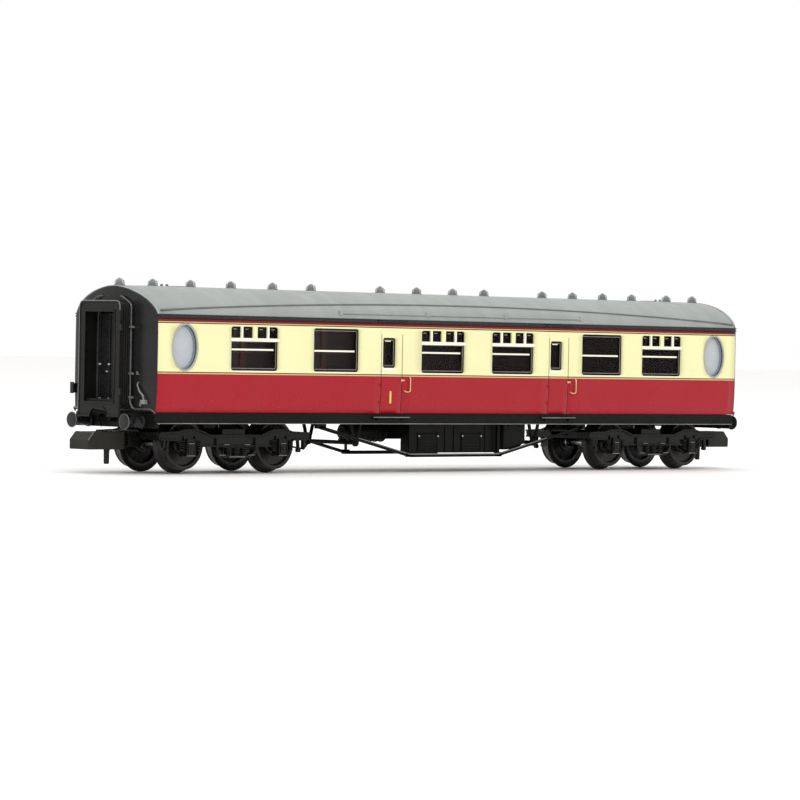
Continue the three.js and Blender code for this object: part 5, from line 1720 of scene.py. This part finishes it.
def axle_shape():
    """A pin-point axle: a plain shaft with a cone at each end and a collar inside each wheel."""
    tip = corners("axle_rear_outer")[1][1]
    profile = [(0, -tip), (0.62, -tip + 0.72), (0.7, -tip + 0.84), (0.7, -3.6), (0.8, -3.5), (0.8, -3.2),
               (0.7, -3.1), (0.7, 3.1), (0.8, 3.2), (0.8, 3.5), (0.7, 3.6), (0.7, tip - 0.84),
               (0.62, tip - 0.72), (0, tip)]
    return turn(profile, (0, 0, 0), "y", 32)


def coupler_block():
    """A snap coupler: the block with a sloped nose and the drop pin under it, drawn for the rear."""
    low, high = corners("coupler_rear")
    rear, nose, z_low, z_high = low[0], high[0], above(2.85), high[2]
    half = high[1]
    side = [(rear, z_low), (nose - 0.12, z_low), (nose, z_low + 0.12), (nose, above(4.2)),
            (nose - 1.1, z_high), (rear, z_high)]
    shell = prism(side, "y", -half, half)
    pin = turn([(0, low[2]), (0.3, low[2]), (0.4, low[2] + 0.15), (0.44, z_low + 0.3), (0, z_low + 0.3)],
               (nose - 5.15, 0, 0), "z", 20)
    return merged(shell, pin)


def coupler_edges():
    """A painted highlight: a pale bead along the edges round the sloped nose, drawn for the rear."""
    high = corners("coupler_rear")[1]
    nose, half, slope = high[0], high[1] - 0.08, above(4.2)
    rim = [(nose - 0.05, -half, slope), (nose - 1.1, -half, high[2] - 0.03),
           (nose - 1.1, half, high[2] - 0.03), (nose - 0.05, half, slope)]
    return tube(eased(rim, 0.15), 0.06, across=(0.6, 0.1, 0.8), sides=6)


def buffer_rims(end):
    """A painted highlight: a pale ring on the edge of each buffer head."""
    low, high = corners("buffer_rear_near")
    radius, y, z = (high[2] - low[2]) / 2 - 0.05, abs(low[1] + high[1]) / 2, (low[2] + high[2]) / 2
    ring = turn([(radius - 0.05, high[0] - 0.1), (radius + 0.03, high[0] - 0.12), (radius, high[0] - 0.05),
                 (radius - 0.05, high[0] - 0.1)], (0, 0, z), "x", 48)
    return at_end(copies(ring, [(0, -y, 0), (0, y, 0)]), end)


def build_bogies():
    """Both bogies with their wheelsets and couplers."""
    parts = merged(side_frame(-1), side_frame(1), bogie_middle())
    wheel, tyre, axle = wheel_shape(), tyre_shape(), axle_shape()
    for name, end in ENDS.items():
        bogie = f"{name}_bogie"
        centre = (end * BOGIE_CENTRE, 0, 0)
        make(f"bogie_{name}", changed(at_end(parts, end), shift=centre), BOGIE_BLACK, bogie, "bogie_black",
             [f"bogie_frame_{name}"], bevel=0.035)
        for axle_name, towards in (("outer", 1), ("inner", -1)):
            body = f"{name}_{axle_name}_wheelset"
            place = (end * (BOGIE_CENTRE + towards * WHEELBASE / 2), 0, AXLE_Z)
            make(f"axle_shaft_{name}_{axle_name}", changed(axle, shift=place), STEEL, body, "plated_steel",
                 [f"axle_{name}_{axle_name}"])
            for side_name, side in SIDES.items():
                wheel_name = f"{name}_{axle_name}_{side_name}"
                make(f"coach_wheel_{wheel_name}", changed(wheel, (1, side, 1), place), WHEEL_BLACK, body,
                     "wheel_metal", [f"wheel_{wheel_name}"])
                make(f"tyre_{wheel_name}", changed(tyre, (1, side, 1), place), TYRE_STEEL, body,
                     "wheel_metal")
        make(f"coupling_{name}", at_end(coupler_block(), end), COUPLER_GREY, f"{name}_coupler",
             "coupler_grey", [f"coupler_{name}"], bevel=0.08)
        make(f"coupling_edges_{name}", at_end(coupler_edges(), end), PAINTED_HIGHLIGHT_GREY, f"{name}_coupler",
             "coupler_grey")
        shine = changed(at_end(merged(bogie_shine(-1), bogie_shine(1)), end), shift=centre)
        make(f"bogie_painted_highlights_{name}", shine, PAINTED_HIGHLIGHT_GREY, bogie, "bogie_black")


# ------------------------------------------------------------------------------------------------ the scene

def carried_over():
    """Finishes for the CAD nodes that show as they are."""
    finishes = {
        "ballast_weight": STEEL,
        "pivot_screw_front": STEEL, "pivot_screw_rear": STEEL,
        "coupler_pin_front": STEEL, "coupler_pin_rear": STEEL,
        "coupler_spring_front": STEEL, "coupler_spring_rear": STEEL,
    }
    for node, material in finishes.items():
        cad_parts[node].data.materials.clear()
        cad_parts[node].data.materials.append(material)


FLOOR_HALF = 3000.0
LAMPS = {
    "key": ((-0.5, -0.7, 0.55), 0.14, 1.3), "top": ((0.05, -0.1, 0.9), 1.2, 3.0),
    "end": ((-0.95, 0.1, 0.3), 0.1, 0.35),
}
LAMP_TARGET = np.array([0, 0, 0.012])


def studio():
    """A wide pale floor, a bright even sky and large soft lamps."""
    edge = np.linspace(-FLOOR_HALF, FLOOR_HALF, 3)
    x, y = np.meshgrid(edge, edge, indexing="ij")
    floor = bpy.data.meshes.new("floor")
    points, (cells,) = grid(np.stack([x, y, 0 * x - 0.02], -1), flip=True)
    floor.from_pydata((points * MM).tolist(), [], cells.tolist())
    floor.materials.append(pale_floor())
    ground = bpy.data.objects.new("studio_floor", floor)
    bpy.context.scene.collection.objects.link(ground)
    world = bpy.data.worlds.new("studio_world")
    world.use_nodes = True
    world.node_tree.nodes["Background"].inputs["Color"].default_value = (1, 1, 1, 1)
    world.node_tree.nodes["Background"].inputs["Strength"].default_value = 1.0
    bpy.context.scene.world = world
    bpy.context.scene.view_settings.view_transform = "Standard"
    for name, (place, size, power) in LAMPS.items():
        lamp = bpy.data.lights.new(name, "AREA")
        lamp.size, lamp.energy = size, power
        holder = bpy.data.objects.new(name, lamp)
        holder.location = place
        aim = LAMP_TARGET - np.array(place)
        holder.rotation_mode = "QUATERNION"
        holder.rotation_quaternion = Vector(aim).to_track_quat("-Z", "Y")
        bpy.context.scene.collection.objects.link(holder)


aim_camera()
carried_over()
build_body()
build_windows()
build_doors()
build_interior()
build_ends()
build_underframe()
build_bogies()
studio()
